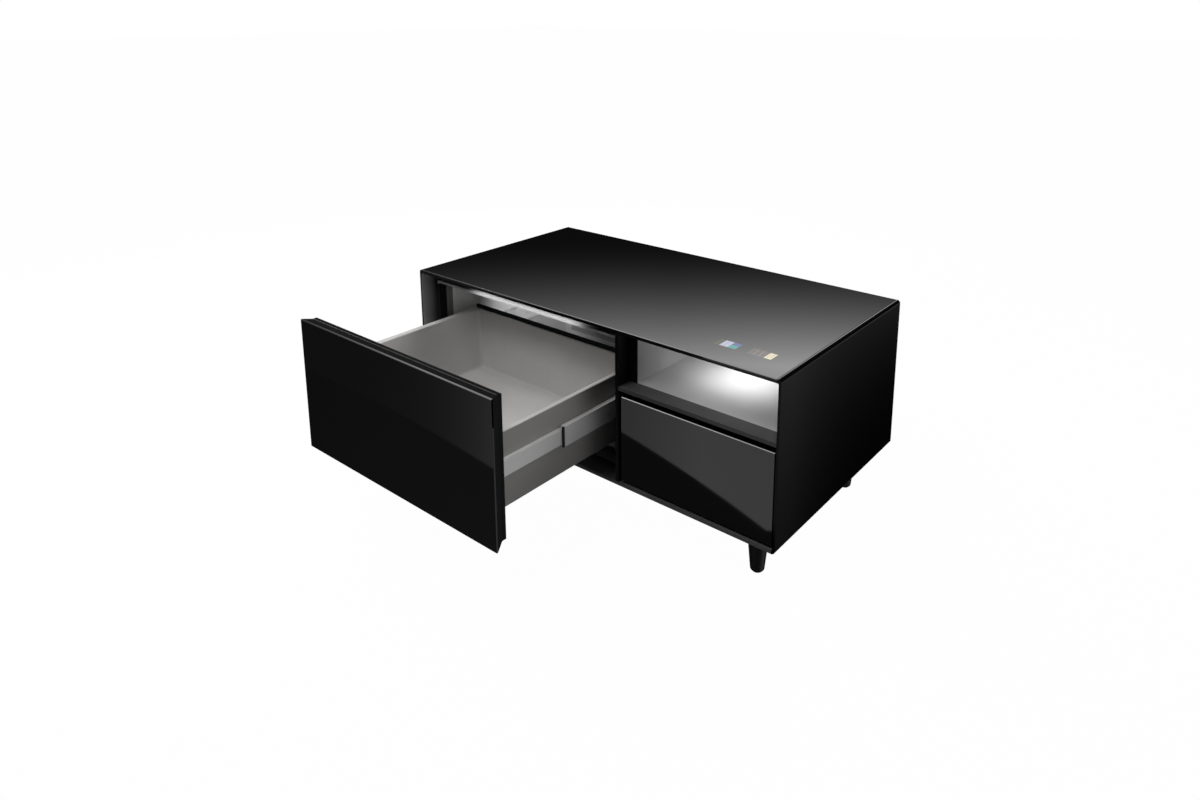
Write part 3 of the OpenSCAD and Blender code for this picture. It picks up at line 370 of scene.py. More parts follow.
# Touch keys: flat printed fields behind the glass, lit from below, some filled and some only outlined
def keysFinish(name, look):
    finish = Finish(name)
    across, along, up = finish.axis()

    def within(x0, x1, y0, y1):
        low, high = place(x0, y0, 0), place(x1, y1, 0)
        inside = finish.sums("MULTIPLY", finish.sums("GREATER_THAN", across, low.x),
                             finish.sums("LESS_THAN", across, high.x))
        inside = finish.sums("MULTIPLY", inside, finish.sums("GREATER_THAN", along, low.y))
        return finish.sums("MULTIPLY", inside, finish.sums("LESS_THAN", along, high.y))

    colour = look["ground"]
    dots = finish.spread(finish.noise(420, 2), 0.35, 0.65, 0.72, 1.0)
    for x0, x1, y0, y1, tint, line in look["fields"]:
        share = within(x0, x1, y0, y1)
        if line:
            share = finish.sums("SUBTRACT", share, within(x0 + line, x1 - line, y0 + line, y1 - line))
        colour = finish.blend(finish.sums("MULTIPLY", share, dots), colour, tint)
    finishes[name] = finish.set({"Base Color": (0.0012, 0.0012, 0.0014),
                                 "Roughness": finish.spread(finish.noise(900, 2), 0.3, 0.7, 0.014, 0.03)})
    finish.feed(finish.shader.inputs["Emission Color"], colour)
    finish.shader.inputs["Emission Strength"].default_value = look["glow"]


keyTints = {"olive": (0.10, 0.11, 0.01), "white": (0.46, 0.46, 0.60), "teal": (0.0, 0.30, 0.25),
            "purple": (0.05, 0.09, 0.30), "brown": (0.050, 0.030, 0.018), "cream": (0.72, 0.63, 0.42),
            "grey": (0.16, 0.15, 0.14)}
keysFinish("printed_keys", {"glow": 1.0, "ground": (0.0, 0.0, 0.0), "fields": [
    (899.5, 905, 71, 101.5, keyTints["olive"], 0.9), (905, 911, 71, 101.5, keyTints["olive"], 0.9),
    (912, 932, 71, 101.5, keyTints["white"], 0), (921.5, 922.3, 71, 101.5, keyTints["purple"], 0),
    (932, 951, 71, 88, keyTints["teal"], 0), (932, 951.5, 89, 101.5, keyTints["purple"], 0),
    (943, 951.5, 71, 80, keyTints["purple"], 0.9),
    (980.5, 1018, 71, 101.5, keyTints["brown"], 0), (980.5, 992, 71, 101.5, keyTints["grey"], 0.8),
    (993, 1005, 71, 101.5, keyTints["grey"], 0.8), (1006, 1018, 71, 101.5, keyTints["grey"], 0.8),
    (1019, 1035.5, 71, 101.5, keyTints["cream"], 0), (1024, 1024.8, 71, 92, keyTints["brown"], 0),
    (1029.5, 1030.3, 80, 101.5, keyTints["brown"], 0)]})

slotOf = {row["node"]: row["material_slot"] for row in frame["record"]["subparts"]}
own = {"cold_front_glass": "front_glass", "small_front_glass": "small_glass", "cold_lamp": "cold_lamp_lens",
       "niche_lamp": "niche_lamp_lens", "cold_slide_left_inner": "pale_zinc", "cold_slide_right_inner": "bright_zinc",
       "cold_slide_left_middle": "pale_zinc", "cold_slide_right_middle": "dark_zinc",
       "cold_slide_left_fixed": "coated_white", "cold_slide_right_fixed": "coated_white", "roof_panel": "roof_black",
       "niche_shelf": "shelf_black", "divider_panel": "matt_black", "niche_surround": "matt_black",
       "mouth_frame": "flange_black", "left_side_panel": "left_shell", "right_side_panel": "side_shell",
       "cold_gasket": "door_seal", "evaporator_cover": "duct_shade_grey", "niche_liner": "niche_white",
       "base_panel": "base_black"}
for nodeName, shape in frame["nodes"].items():
    wanted = own.get(nodeName) or slotOf.get(nodeName)
    shape.data.materials.clear()
    shape.data.materials.append(finishes[wanted])
# The opened drawer stays out of the polished faces beside it, which show only plain cards of light
for bodyName in ("cold_drawer", "cold_slide_middles", "cold_outer_cages", "cold_inner_cages"):
    for nodeName in frame["record"]["behaviour"]["bodies"][bodyName]:
        frame["nodes"][nodeName].visible_glossy = False
print("finishes:", len(finishes))


# New pieces, modelled one by one
def pickAll(pick):
    bpy.ops.object.select_all(action="DESELECT")
    for item in pick:
        item.select_set(True)
    bpy.context.view_layer.objects.active = pick[-1]


# A block between two corners in the cabinet's millimetres, with its place in its mesh
def blockAt(name, low, high):
    bpy.ops.object.select_all(action="DESELECT")
    low, high = place(*low), place(*high)
    bpy.ops.mesh.primitive_cube_add(size=1, location=(low + high) / 2)
    piece = bpy.context.object
    piece.name = name
    piece.scale = high - low
    bpy.ops.object.transform_apply()
    return piece


def rodAt(name, foot, head, radius, sides):
    bpy.ops.object.select_all(action="DESELECT")
    foot, head = place(*foot), place(*head)
    bpy.ops.mesh.primitive_cylinder_add(vertices=sides, radius=radius / 1000, depth=(head - foot).length,
                                        location=(foot + head) / 2,
                                        rotation=(head - foot).to_track_quat("Z", "Y").to_euler())
    piece = bpy.context.object
    piece.name = name
    bpy.ops.object.transform_apply()
    return piece


# Selects the faces or edges whose middle (in the cabinet's millimetres) and direction pass a test, in edit mode
def pickParts(piece, kind, test):
    bpy.ops.mesh.select_mode(type=kind)
    bpy.ops.mesh.select_all(action="DESELECT")
    shape = bmesh.from_edit_mesh(piece.data)
    home = place(0, 0, 0)
    for part in (shape.faces if kind == "FACE" else shape.edges):
        spots = [vertex.co for vertex in part.verts]
        middle = (sum(spots, Vector()) / len(spots) - home) * 1000
        way = part.normal if kind == "FACE" else (spots[1] - spots[0]).normalized()
        part.select_set(bool(test(middle, way)))
    bmesh.update_edit_mesh(piece.data)


def editing(piece):
    pickAll([piece])
    bpy.ops.object.mode_set(mode="EDIT")


def bevelEdges(piece, width, segments, test):
    pickParts(piece, "EDGE", test)
    bpy.ops.mesh.bevel(offset=width / 1000, segments=segments, affect="EDGES")


def bevelAll(piece, width, segments=2):
    pickAll([piece])
    step = piece.modifiers.new("bevel", "BEVEL")
    step.width = width / 1000
    step.segments = segments
    step.limit_method = "ANGLE"
    step.angle_limit = math.radians(30)
    bpy.ops.object.modifier_apply(modifier=step.name)


def cutOut(piece, tool):
    pickAll([piece])
    step = piece.modifiers.new("cut", "BOOLEAN")
    step.operation = "DIFFERENCE"
    step.object = tool
    bpy.ops.object.modifier_apply(modifier=step.name)
    bpy.data.objects.remove(tool)


def copyOf(piece, name, shift):
    pickAll([piece])
    bpy.ops.object.duplicate()
    twin = bpy.context.object
    twin.name = name
    twin.location = Vector(shift) / 1000
    bpy.ops.object.transform_apply()
    return twin


def joined(name, pieces):
    pickAll(pieces)
    bpy.ops.object.join()
    bpy.context.object.name = name
    return bpy.context.object


def done(piece, body, finish, angle=35):
    pickAll([piece])
    bpy.ops.object.shade_smooth_by_angle(angle=math.radians(angle))
    piece.data.materials.clear()
    piece.data.materials.append(finishes[finish])
    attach(piece, body)
    return piece


# Directions that a chosen face looks in
faceTests = {"up": lambda middle, way: way.z > 0.9, "down": lambda middle, way: way.z < -0.9,
             "back": lambda middle, way: way.y > 0.9, "front": lambda middle, way: way.y < -0.9}


# Sets a smaller field in the faces that look one way and moves it, sloped by itself or stepped by an extrusion
def setField(piece, face, border, move, stepped=False):
    pickParts(piece, "FACE", faceTests[face])
    bpy.ops.mesh.inset(thickness=border / 1000)
    shift = tuple(step / 1000 for step in move)
    if stepped:
        bpy.ops.mesh.extrude_region_move(TRANSFORM_OT_translate={"value": shift})
    else:
        bpy.ops.transform.translate(value=shift)


# A block with a field in one face, and round corners along its depth where asked for
def fieldBlock(name, look):
    piece = blockAt(name, look["low"], look["high"])
    editing(piece)
    if "corner" in look:
        bevelEdges(piece, look["corner"], look["cornerSteps"], lambda middle, way: abs(way.y) > 0.9)
    setField(piece, look["face"], look["border"], look["move"], look.get("stepped", False))
    bpy.ops.object.mode_set(mode="OBJECT")
    return piece


# The glass of the top and of both fronts: the upper edge is ground to a chamfer, the others are only broken
glassSheets = [
    {"name": "top_sheet", "node": "top_glass", "low": (9.3, 0, 372), "high": (1090.7, 578, 376), "chamfer": 1.4,
     "broken": 0.35, "face": (2, 376), "finish": "black_glass", "body": "cabinet"},
    {"name": "cold_sheet", "node": "cold_front_glass", "low": (11.5, -358, 13.4), "high": (680.3, -354, 342.3),
     "chamfer": 1.3, "broken": 0.35, "face": (1, -358), "finish": "front_glass", "body": "cold_drawer"},
    {"name": "small_sheet", "node": "small_front_glass", "low": (700.2, 4, 13.4), "high": (1089.8, 8, 218.1),
     "chamfer": 1.3, "broken": 0.35, "face": (1, 4), "finish": "small_glass", "body": "small_drawer"},
]
keyPockets = [((899, 70, 375.6), (952, 102, 377)), ((980, 70, 375.6), (1036, 102, 377))]
for look in glassSheets:
    sheet = blockAt(look["name"], look["low"], look["high"])
    editing(sheet)
    side, level = look["face"]
    topLine = look["high"][2]
    bevelEdges(sheet, look["chamfer"], 1,
               lambda middle, way: abs(middle[side] - level) < 0.1 and abs(way.x) > 0.9 and middle.z > topLine - 1)
    bevelEdges(sheet, look["broken"], 1,
               lambda middle, way: abs(middle[side] - level) < 0.1 and (abs(way.x) < 0.1 or middle.z < topLine - 10))
    bpy.ops.object.mode_set(mode="OBJECT")
    if look["node"] == "top_glass":
        for low, high in keyPockets:
            cutOut(sheet, blockAt("pocket", low, high))
    done(sheet, look["body"], look["finish"], 30)
    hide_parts(look["node"])
print("glass sheets modelled")

# The cold drawer's bin: one moulding with drafted walls, round corners and a soft rim
binLook = {"low": (47.6, -322, 71), "high": (644.2, 158, 238.4), "rim": 12, "rimLeft": 7, "rimEnds": 5, "depth": 163.4,
           "floor": (518.6, 422), "floorShift": -3.5, "corner": 10, "cornerWithin": ((60, -318), (635, 154)),
           "floorEdge": 7, "lip": 2.0, "lipWithin": ((50, -320), (642, 156)), "outer": 3.0,
           "outerWithin": ((47.7, -321.9), (644.1, 157.9))}
moulding = blockAt("bin_moulding", binLook["low"], binLook["high"])
editing(moulding)
pickParts(moulding, "FACE", faceTests["up"])
bpy.ops.mesh.inset(thickness=binLook["rim"] / 1000)
opened = {"left": binLook["low"][0] + binLook["rim"], "right": binLook["high"][0] - binLook["rim"],
          "front": binLook["low"][1] + binLook["rim"], "back": binLook["high"][1] - binLook["rim"]}
top = binLook["high"][2]
for side, at, shift in ((0, opened["left"], (binLook["rimLeft"], 0, 0)),
                        (1, opened["front"], (0, binLook["rimEnds"], 0)),
                        (1, opened["back"], (0, -binLook["rimEnds"], 0))):
    pickParts(moulding, "EDGE",
              lambda middle, way: abs(middle[side] - at) < 0.2 and abs(way[side]) < 0.1 and middle.z > top - 1)
    bpy.ops.transform.translate(value=Vector(shift) / 1000)
width = opened["right"] - opened["left"] - binLook["rimLeft"]
depth = opened["back"] - opened["front"] - 2 * binLook["rimEnds"]
centre = Vector((opened["left"] + binLook["rimLeft"] + width / 2, (opened["front"] + opened["back"]) / 2, top))
pickParts(moulding, "FACE", lambda middle, way: way.z > 0.9 and (middle - centre).length < 2)
sink = (binLook["floorShift"] / 1000, 0, -binLook["depth"] / 1000)
bpy.ops.mesh.extrude_region_move(TRANSFORM_OT_translate={"value": sink})
floorCentre = place(centre.x + binLook["floorShift"], centre.y, top - binLook["depth"])
bpy.ops.transform.resize(value=(binLook["floor"][0] / width, binLook["floor"][1] / depth, 1),
                         center_override=floorCentre)


# Whether a place lies between two corners, seen from above
def isWithin(middle, corners):
    low, high = corners
    return all(low[side] < middle[side] < high[side] for side in (0, 1))


bevelEdges(moulding, binLook["corner"], 5,
           lambda middle, way: abs(way.z) > 0.7 and isWithin(middle, binLook["cornerWithin"]))
bevelEdges(moulding, binLook["floorEdge"], 4,
           lambda middle, way: abs(middle.z - (top - binLook["depth"])) < 0.3 and abs(way.z) < 0.1)
bevelEdges(moulding, binLook["lip"], 3,
           lambda middle, way: middle.z > top - 0.1 and abs(way.z) < 0.1 and isWithin(middle, binLook["lipWithin"]))
bevelEdges(moulding, binLook["outer"], 3, lambda middle, way: not isWithin(middle, binLook["outerWithin"]))
bpy.ops.object.mode_set(mode="OBJECT")
done(moulding, "cold_drawer", "grey_bin", 40)
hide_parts("cold_bin")
moulding.visible_glossy = False

# A dark lip along the bin's back rim, a dark piece that stands for the shadow behind the rim: painted shadow
shadowLipLook = {"low": (52, 147, 238.0), "high": (640, 156, 247.5), "face": "up", "border": 3, "move": (0, 0, 1.2),
              "round": 1.0}
shadowLip = fieldBlock("bin_shadow_lip", shadowLipLook)
bevelAll(shadowLip, shadowLipLook["round"])
done(shadowLip, "cold_drawer", "matt_black", 35)
shadowLip.visible_glossy = False

# Stops at the front ends of the middle slide members
stopLook = {"right": 654.9, "left": 32.5, "thick": 4.4, "low": (-140.6, 141.3), "high": (-135.9, 188.7),
            "face": "front", "border": 0.9, "move": (0, 0.6, 0), "round": 0.5}
for side in ("right", "left"):
    stop = fieldBlock("slide_stop_" + side, dict(stopLook, low=(stopLook[side], *stopLook["low"]),
                                                 high=(stopLook[side] + stopLook["thick"], *stopLook["high"])))
    bevelAll(stop, stopLook["round"])
    done(stop, "cold_slide_middles", "gasket_rubber")
    stop.visible_glossy = False

# Fine beads rolled along the tops of the fronts' frames, behind the glass; their paler grey is a painted highlight
# standing for the light lines along the frames' crease
beadLook = {"radius": 0.8, "sides": 12, "tip": 0.5, "border": 0.4, "runs": [
    ("cold_front_bead_crease", (25, -333, 338.6), (667, -333, 338.6), "cold_drawer"),
    ("cold_front_bead_back", (24, -323, 338.6), (668, -323, 338.6), "cold_drawer"),
    ("small_front_bead_crease", (712, 29, 214.2), (1078, 29, 214.2), "small_drawer"),
    ("small_front_bead_back", (712, 38.8, 214.2), (1078, 38.8, 214.2), "small_drawer")]}
for beadName, foot, head, body in beadLook["runs"]:
    bead = rodAt(beadName, foot, head, beadLook["radius"], beadLook["sides"])
    editing(bead)
    pickParts(bead, "FACE", lambda middle, way: abs(way.x) > 0.9)
    bpy.ops.mesh.inset(thickness=beadLook["border"] / 1000)
    bpy.ops.mesh.extrude_region_shrink_fatten(TRANSFORM_OT_shrink_fatten={"value": beadLook["tip"] / 1000})
    bpy.ops.object.mode_set(mode="OBJECT")
    done(bead, body, "bead_highlight_grey", 35)
print("cold drawer pieces modelled")

# Pan-head screws with a cross recess: one is modelled, the others are copies; shares of the radius or of the height
screwLook = {"sides": 20, "shoulder": 0.35, "crown": 0.1, "edge": 0.8, "round": 0.5, "arm": 0.5, "armHalf": 0.11,
             "recessFrom": 0.4}


def screwAt(name, spot, radius, rise):
    x, y, z = spot
    screw = rodAt(name, spot, (x, y + rise, z), radius, screwLook["sides"])
    editing(screw)
    pickParts(screw, "FACE", faceTests["back"])
    for share in (screwLook["shoulder"], screwLook["crown"]):
        bpy.ops.mesh.inset(thickness=radius * share / 1000)
    crown = Vector((x, y + rise, z))
    pickParts(screw, "EDGE",
              lambda middle, way: middle.y > crown.y - 0.05 and (middle - crown).length > radius * screwLook["edge"])
    bpy.ops.mesh.bevel(offset=rise * screwLook["round"] / 1000, segments=3, affect="EDGES")
    bpy.ops.object.mode_set(mode="OBJECT")
    arm, half, start = radius * screwLook["arm"], radius * screwLook["armHalf"], y + rise * screwLook["recessFrom"]
    cutOut(screw, blockAt("slot", (x - arm, start, z - half), (x + arm, y + rise + 1, z + half)))
    cutOut(screw, blockAt("slot", (x - half, start, z - arm), (x + half, y + rise + 1, z + arm)))
    return screw


def screwSet(name, spots, radius, rise=1.3):
    first = screwAt(name, spots[0], radius, rise)
    others = [copyOf(first, name + "_copy", Vector(spot) - Vector(spots[0])) for spot in spots[1:]]
    return done(joined(name, others + [first]), "cabinet", "zinc_steel", 40)


rearScrews = {"columns": (17.5, 678.9, 702.9, 1082.5), "rows": (20, 187.5, 355), "y": 576, "radius": 3.6}
rearSpots = [(x, rearScrews["y"], z) for x in rearScrews["columns"] for z in rearScrews["rows"]]
rearHeads = screwSet("rear_screw_heads", rearSpots, rearScrews["radius"])
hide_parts("rear_screws")
screwSet("inlet_screws", [(1021, 577.2, 158), (1059, 577.2, 158)], 2.4, 0.75)
screwSet("control_lid_screws", [(x, 435.3, z) for x in (729, 864) for z in (238, 265)], 2.2)

# Stiffening ribs pressed into the back panel
ribLook = {"x": (70, 626), "rows": (70, 125, 250, 305), "half": 5, "foot": 575.6, "crown": 577.4, "face": "back",
           "corner": 4.6, "cornerSteps": 5, "border": 2.4, "move": (0, 0.2, 0), "round": 0.9}
ribs = []
for z in ribLook["rows"]:
    rib = fieldBlock("rib", dict(ribLook, low=(ribLook["x"][0], ribLook["foot"], z - ribLook["half"]),
                                 high=(ribLook["x"][1], ribLook["crown"], z + ribLook["half"])))
    editing(rib)
    bevelEdges(rib, ribLook["round"], 3,
               lambda middle, way: abs(middle.y - ribLook["crown"]) < 0.05 and abs(way.y) < 0.1)
    bpy.ops.object.mode_set(mode="OBJECT")
    ribs.append(rib)
done(joined("back_panel_ribs", ribs), "cabinet", "rear_steel")

# Lid of the control box, with a sunk field and cooling slots
lidLook = {"low": (724, 433.0, 233), "high": (869, 435.4, 270), "face": "back", "border": 3, "move": (0, -0.7, 0),
           "stepped": True, "slots": 6, "slotFrom": 770, "slotPitch": 9, "slotWide": 3, "slotRows": (242, 261),
           "round": 0.5}
lid = fieldBlock("control_box_lid", lidLook)
for step in range(lidLook["slots"]):
    x = lidLook["slotFrom"] + step * lidLook["slotPitch"]
    slotFoot, slotHead = lidLook["slotRows"]
    cutOut(lid, blockAt("slot", (x, 432, slotFoot), (x + lidLook["slotWide"], 437, slotHead)))
bevelAll(lid, lidLook["round"])
done(lid, "cabinet", "control_housing")

# Cover over the compressor's terminals
terminalLook = {"low": (925, 525.5, 62), "high": (974, 540, 104), "face": "back", "corner": 5, "cornerSteps": 4,
                "border": 4, "move": (0, 1.2, 0), "stepped": True, "round": 0.8}
terminal = fieldBlock("compressor_terminal_cover", terminalLook)
bevelAll(terminal, terminalLook["round"])
done(terminal, "cabinet", "tray_plastic")

# Cap on the fan's hub
capLook = {"foot": (785.5, 391.2, 74), "head": (785.5, 389.6, 74), "radius": 13, "sides": 32, "border": 3,
           "move": (0, 0.5, 0), "round": 0.4}
hubCap = rodAt("fan_hub_cap", capLook["foot"], capLook["head"], capLook["radius"], capLook["sides"])
editing(hubCap)
setField(hubCap, "front", capLook["border"], capLook["move"], True)
bpy.ops.object.mode_set(mode="OBJECT")
bevelAll(hubCap, capLook["round"])
done(hubCap, "fan", "fan_plastic")

# End caps of the two lamp bars
endCaps = {"face": "down", "border": 0.8, "move": (0, 0, -0.3), "round": 0.6, "bars": {
    "niche_lamp_caps": {"low": (744.5, 235.5, 345.9), "high": (748.5, 250.5, 351.2), "reach": 294},
    "cold_lamp_caps": {"low": (56.5, 95.2, 328.9), "high": (60.8, 109.8, 334.2), "reach": 574.4}}}
for barName, bar in endCaps["bars"].items():
    ends = []
    for shift in (0, bar["reach"]):
        cap = fieldBlock("cap", dict(endCaps, low=(bar["low"][0] + shift, *bar["low"][1:]),
                                     high=(bar["high"][0] + shift, *bar["high"][1:])))
        bevelAll(cap, endCaps["round"])
        ends.append(cap)
    done(joined(barName, ends), "cabinet", "coated_white", 35)
print("rear and plant pieces modelled")

# The small drawer's box: a rolled rim round its mouth and a ribbed mat on its floor
rimLook = {"low": (706.6, 41, 187.4), "high": (1083.4, 333.6, 190.9), "mouthLow": (714, 46.2, 180),
           "mouthHigh": (1076, 325.8, 200), "round": 1.2}
rim = blockAt("small_box_rim", rimLook["low"], rimLook["high"])
cutOut(rim, blockAt("mouth", rimLook["mouthLow"], rimLook["mouthHigh"]))
bevelAll(rim, rimLook["round"], 3)
done(rim, "small_drawer", "box_grey")
matLook = {"low": (718, 50, 35.0), "high": (1072, 322, 36.2), "corner": 8, "round": 0.4, "ribs": 23,
           "ribLow": (732, 60, 35.9), "ribHigh": (735.2, 312, 37.1), "ribEnd": 1055, "ribRound": 0.5}
mat = blockAt("small_box_mat", matLook["low"], matLook["high"])
editing(mat)
bevelEdges(mat, matLook["corner"], 5, lambda middle, way: abs(way.z) > 0.9)
bpy.ops.object.mode_set(mode="OBJECT")
bevelAll(mat, matLook["round"])
matRib = blockAt("mat_rib", matLook["ribLow"], matLook["ribHigh"])
bevelAll(matRib, matLook["ribRound"])
pitch = (matLook["ribEnd"] - matLook["ribLow"][0]) / (matLook["ribs"] - 1)
matRibs = [copyOf(matRib, "mat_rib_copy", (step * pitch, 0, 0)) for step in range(1, matLook["ribs"])]
done(joined("small_box_mat", matRibs + [matRib, mat]), "small_drawer", "gasket_rubber")
print("pieces modelled")


# Studio: pale floor, a soft surround that only gloss sees, and soft lamps
floorLook = {"size": 60, "colour": (0.08, 0.08, 0.08), "white": 0.88, "glow": 1.12}
bpy.ops.object.select_all(action="DESELECT")
bpy.ops.mesh.primitive_plane_add(size=floorLook["size"], location=(0, 0, 0))
floor = bpy.context.object
floor.name = "floor"
floor.visible_glossy = False
floorFinish = Finish("floor")
paper = floorFinish.noise(35, 3)
floorFinish.set({"Base Color": floorFinish.blend(paper, floorLook["colour"],
                                                 tuple(c * 0.99 for c in floorLook["colour"])), "Roughness": 0.9})
glowNode = floorFinish.nodes.new("ShaderNodeEmission")
mixNode = floorFinish.nodes.new("ShaderNodeMixShader")
pathNode = floorFinish.nodes.new("ShaderNodeLightPath")
seen = floorFinish.sums("MULTIPLY", pathNode.outputs["Is Camera Ray"], floorLook["white"])
floorFinish.feed(mixNode.inputs[0], seen)
glowNode.inputs["Strength"].default_value = floorLook["glow"]
floorFinish.links.new(floorFinish.shader.outputs[0], mixNode.inputs[1])
floorFinish.links.new(glowNode.outputs[0], mixNode.inputs[2])
floorFinish.links.new(mixNode.outputs[0], floorFinish.nodes["Material Output"].inputs["Surface"])
floor.data.materials.append(floorFinish.material)

worldLook = {"onObject": 0.004, "seen": 1.0}
world = bpy.data.worlds.new("surround")
bpy.context.scene.world = world
world.use_nodes = True
worldNodes, worldLinks = world.node_tree.nodes, world.node_tree.links
background = worldNodes["Background"]
seenPath = worldNodes.new("ShaderNodeLightPath")
anySeen = worldNodes.new("ShaderNodeMath")
anySeen.operation = "MAXIMUM"
worldLinks.new(seenPath.outputs["Is Camera Ray"], anySeen.inputs[0])
worldLinks.new(seenPath.outputs["Is Transmission Ray"], anySeen.inputs[1])
brightness = worldNodes.new("ShaderNodeMapRange")
brightness.inputs["To Min"].default_value = worldLook["onObject"]
brightness.inputs["To Max"].default_value = worldLook["seen"]
worldLinks.new(anySeen.outputs[0], brightness.inputs["Value"])
worldLinks.new(brightness.outputs[0], background.inputs["Strength"])
background.inputs["Color"].default_value = (1, 1, 1, 1)

# The surround's brightness goes by direction in degrees: height over the horizon, turn to the right from straight back.
# A row of four numbers gives where a change starts and ends, and the levels there.
surroundLook = {
    "radius": 90,
    # overhead: brighter from 15 degrees up, with darker gaps to the left and to the right
    "overFrom": 15.0, "overPower": 3.1, "overGain": 0.0028, "overLeast": 0.015, "overMost": (24.0, 50.0, 2.5, 0.7),
    "overTurn": (-36.0, -22.0, 0.75, 1.06),
    "gaps": [((-126.0, -112.0, 1.0, 0.05), (-80.0, -60.0, 0.0, 1.0)),
             ((-15.0, -10.0, 1.0, 0.01), (50.0, 70.0, 0.0, 1.0))],
    # below the horizon, beside the right panel: a dark floor, paler further to the right
    "sideEnd": 28.0, "sideStart": -90.0, "sideFall": 0.035, "sideFallNear": 0.131, "sideFallMost": 0.45,
    "sideHeight": 22.0, "sideRise": 0.357, "sideBase": -11.664, "sideMost": 0.20,
    "sideCard": ((40.0, 42.0, 0.0, 0.42), (75.0, 110.0, 1.0, 0.2)),
    # two cards on the floor in front, seen in the glass of the small front and of the cold front
    "cardBlur": 0.05, "cardsMeet": (-136.0, -137.0),
    "nearEdge": (-151.4, -140.4, -33.5, -27.9), "nearDark": 0.06, "nearBright": (-141.0, -146.5, 0.52, 0.89),
    "farTurn": 131.0, "farSlope": 0.62, "farHeight": -29.5, "farFade": -0.333, "farGain": 0.22, "farLeast": 0.042,
    "farMost": 0.30, "farDark": (-119.0, -131.0, 0.037, 0.072), "farEnd": (-80.0, -110.0, 0.0, 1.0),
    # a faint floor everywhere else
    "restTurn": 24.0, "restLevel": (8.0, 30.0, 0.0, 0.06), "restStart": (-100.0, -80.0, 0.0, 1.0),
}
bpy.ops.mesh.primitive_uv_sphere_add(segments=64, ring_count=32, radius=surroundLook["radius"], location=(0, 0, 0))
surround = bpy.context.object
surround.name = "surround"
surround.visible_camera = False
surround.visible_diffuse = False
surround.visible_transmission = False
surround.visible_shadow = False
surround.visible_volume_scatter = False
glow = Finish("surround")
toward = glow.nodes.new("ShaderNodeVectorMath")
toward.operation = "NORMALIZE"
glow.feed(toward.inputs[0], glow.spot)
dx, dy, dz = glow.axis(toward.outputs[0])
height = glow.sums("MULTIPLY", glow.sums("ARCSINE", dz), 180 / math.pi)
turn = glow.sums("MULTIPLY", glow.sums("ARCTAN2", dx, dy), 180 / math.pi)


def glowAlong(value, look):
    return glow.spread(value, *surroundLook[look])


upper = glow.sums("POWER", glow.sums("MAXIMUM", glow.sums("SUBTRACT", height, surroundLook["overFrom"]), 0.0),
                  surroundLook["overPower"])
upper = glow.sums("MULTIPLY_ADD", upper, surroundLook["overGain"], surroundLook["overLeast"])
upper = glow.sums("MINIMUM", upper, glowAlong(height, "overMost"))
upper = glow.sums("MULTIPLY", upper, glowAlong(turn, "overTurn"))
for start, end in surroundLook["gaps"]:
    upper = glow.sums("MULTIPLY", upper, glow.sums("MAXIMUM", glow.spread(turn, *start), glow.spread(turn, *end)))

reach = glow.sums("MAXIMUM", glow.sums("MINIMUM", turn, surroundLook["sideEnd"]), surroundLook["sideStart"])
fall = glow.sums("MULTIPLY_ADD", glow.sums("SUBTRACT", surroundLook["sideEnd"], reach), surroundLook["sideFall"],
                 surroundLook["sideFallNear"])
fall = glow.sums("MINIMUM", fall, surroundLook["sideFallMost"])
side = glow.sums("MULTIPLY_ADD", reach, surroundLook["sideRise"], surroundLook["sideBase"])
side = glow.sums("MULTIPLY_ADD", glow.sums("ADD", height, surroundLook["sideHeight"]), fall, side)
side = glow.sums("MINIMUM", glow.sums("EXPONENT", side), surroundLook["sideMost"])
cardStart, cardEnd = surroundLook["sideCard"]
side = glow.sums("ADD", side, glow.sums("MULTIPLY", glow.spread(turn, *cardStart), glow.spread(turn, *cardEnd)))

blur = surroundLook["cardBlur"]
overNear = glow.sums("SUBTRACT", height, glowAlong(turn, "nearEdge"))
nearCard = glow.spread(overNear, -blur, blur, surroundLook["nearDark"], glowAlong(turn, "nearBright"))
nearCard = glow.sums("MULTIPLY", nearCard, glow.spread(turn, *surroundLook["cardsMeet"], 0.0, 1.0))
fromFar = glow.sums("ADD", turn, surroundLook["farTurn"])
overFar = glow.sums("SUBTRACT", height, glow.sums("MULTIPLY_ADD", fromFar, surroundLook["farSlope"],
                                                  surroundLook["farHeight"]))
farGlow = glow.sums("EXPONENT", glow.sums("MULTIPLY", fromFar, surroundLook["farFade"]))
farGlow = glow.sums("MULTIPLY_ADD", farGlow, surroundLook["farGain"], surroundLook["farLeast"])
farGlow = glow.sums("MINIMUM", farGlow, surroundLook["farMost"])
farCard = glow.spread(overFar, -blur, blur, glowAlong(turn, "farDark"), farGlow)
farCard = glow.sums("MULTIPLY", farCard, glow.spread(turn, *surroundLook["cardsMeet"], 1.0, 0.0))
farCard = glow.sums("MULTIPLY", farCard, glowAlong(turn, "farEnd"))

fromRest = glow.sums("ABSOLUTE", glow.sums("SUBTRACT", turn, surroundLook["restTurn"]))
elsewhere = glow.sums("MULTIPLY", glowAlong(fromRest, "restLevel"), glowAlong(turn, "restStart"))
lower = glow.sums("ADD", glow.sums("MAXIMUM", side, elsewhere), glow.sums("ADD", nearCard, farCard))
level = glow.sums("ADD", glow.sums("MULTIPLY", upper, glow.sums("GREATER_THAN", height, 0.0)),
                  glow.sums("MULTIPLY", lower, glow.sums("LESS_THAN", height, 0.0)))
shine = glow.nodes.new("ShaderNodeEmission")
glow.feed(shine.inputs["Strength"], level)
glow.links.new(shine.outputs[0], glow.nodes["Material Output"].inputs["Surface"])
surround.data.materials.append(glow.material)

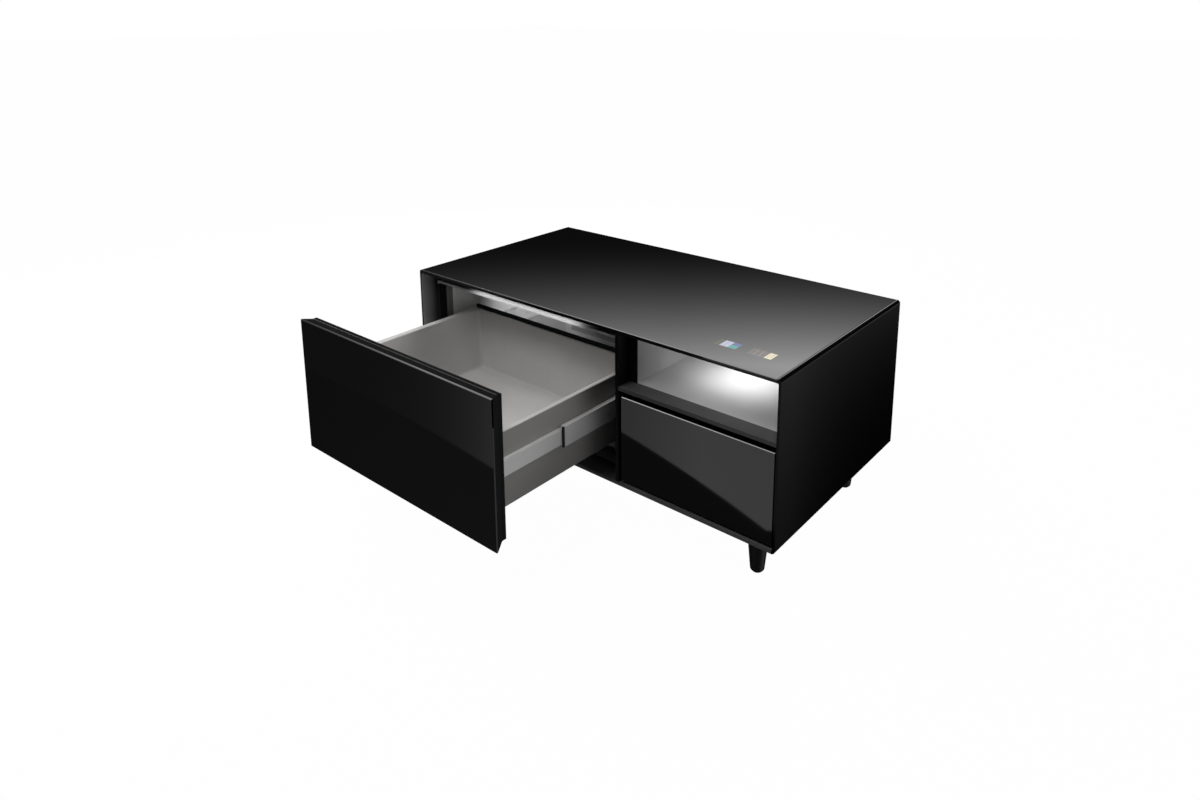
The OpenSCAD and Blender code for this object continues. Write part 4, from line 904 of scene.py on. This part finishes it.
# Soft lamps around the table, and a small one beside the right panel
lamps = {
    "left": {"where": (-2.45, -0.31, 2.02), "power": 51},
    "lowBehind": {"where": (-2.08, 1.98, 0.92), "power": 38},
    "overFront": {"where": (-0.42, -1.42, 2.95), "power": 32},
    "rightBehind": {"where": (2.13, 1.13, 2.02), "power": 22},
    "right": {"where": (2.6, 0.12, 0.70), "power": 6.4, "size": 0.3},
}
lampLook = {"size": 1.2, "aim": (0, -0.1, 0.3)}
for lampName, lamp in lamps.items():
    lightData = bpy.data.lights.new(lampName, "AREA")
    lightData.shape = "SQUARE"
    lightData.size = lamp.get("size", lampLook["size"])
    lightData.energy = lamp["power"]
    light = bpy.data.objects.new(lampName, lightData)
    light.location = lamp["where"]
    light.rotation_euler = (Vector(lampLook["aim"]) - Vector(lamp["where"])).to_track_quat("-Z", "Y").to_euler()
    light.visible_glossy = False
    light.visible_camera = False
    bpy.context.scene.collection.objects.link(light)


# The appliance's own light: strips in the niche's ceiling and over the cold bay's mouth, and a spot inside the bay
def stripLamp(name, look):
    start, end = place(*look["from"]), place(*look["to"])
    run = (end - start).normalized()
    beam = Vector(look["beam"])
    beam = (beam - run * beam.dot(run)).normalized()
    across = (-beam).cross(run)
    stripData = bpy.data.lights.new(name, "AREA")
    stripData.shape = "RECTANGLE"
    stripData.size = (end - start).length
    stripData.size_y = look["width"]
    stripData.energy = look["power"]
    stripData.spread = math.radians(look["spread"])
    strip = bpy.data.objects.new(name, stripData)
    strip.matrix_world = Matrix((run, across, -beam)).transposed().to_4x4()
    strip.location = (start + end) / 2
    strip.visible_camera = False
    strip.visible_glossy = False
    bpy.context.scene.collection.objects.link(strip)


stripLamp("nicheStrip", {"from": (838, 222, 345.8), "to": (958, 222, 345.8), "width": 0.18, "beam": (0.08, 0, -1),
                         "power": 0.30, "spread": 150})
stripLamp("mouthStrip", {"from": (175, 20, 363), "to": (540, 20, 363), "width": 0.01, "beam": (0, 0.62, -0.78),
                         "power": 0.055, "spread": 110})
bayLamp = {"where": (300, 140, 322), "aim": (29, 380, 170), "power": 4.0, "cone": 60, "blend": 1.0, "size": 0.03}
bayData = bpy.data.lights.new("bayLamp", "SPOT")
bayData.energy = bayLamp["power"]
bayData.spot_size = math.radians(bayLamp["cone"])
bayData.spot_blend = bayLamp["blend"]
bayData.shadow_soft_size = bayLamp["size"]
bay = bpy.data.objects.new("bayLamp", bayData)
bay.location = place(*bayLamp["where"])
bay.rotation_euler = (place(*bayLamp["aim"]) - bay.location).to_track_quat("-Z", "Y").to_euler()
bay.visible_camera = False
bay.visible_glossy = False
bpy.context.scene.collection.objects.link(bay)
print("studio ready")
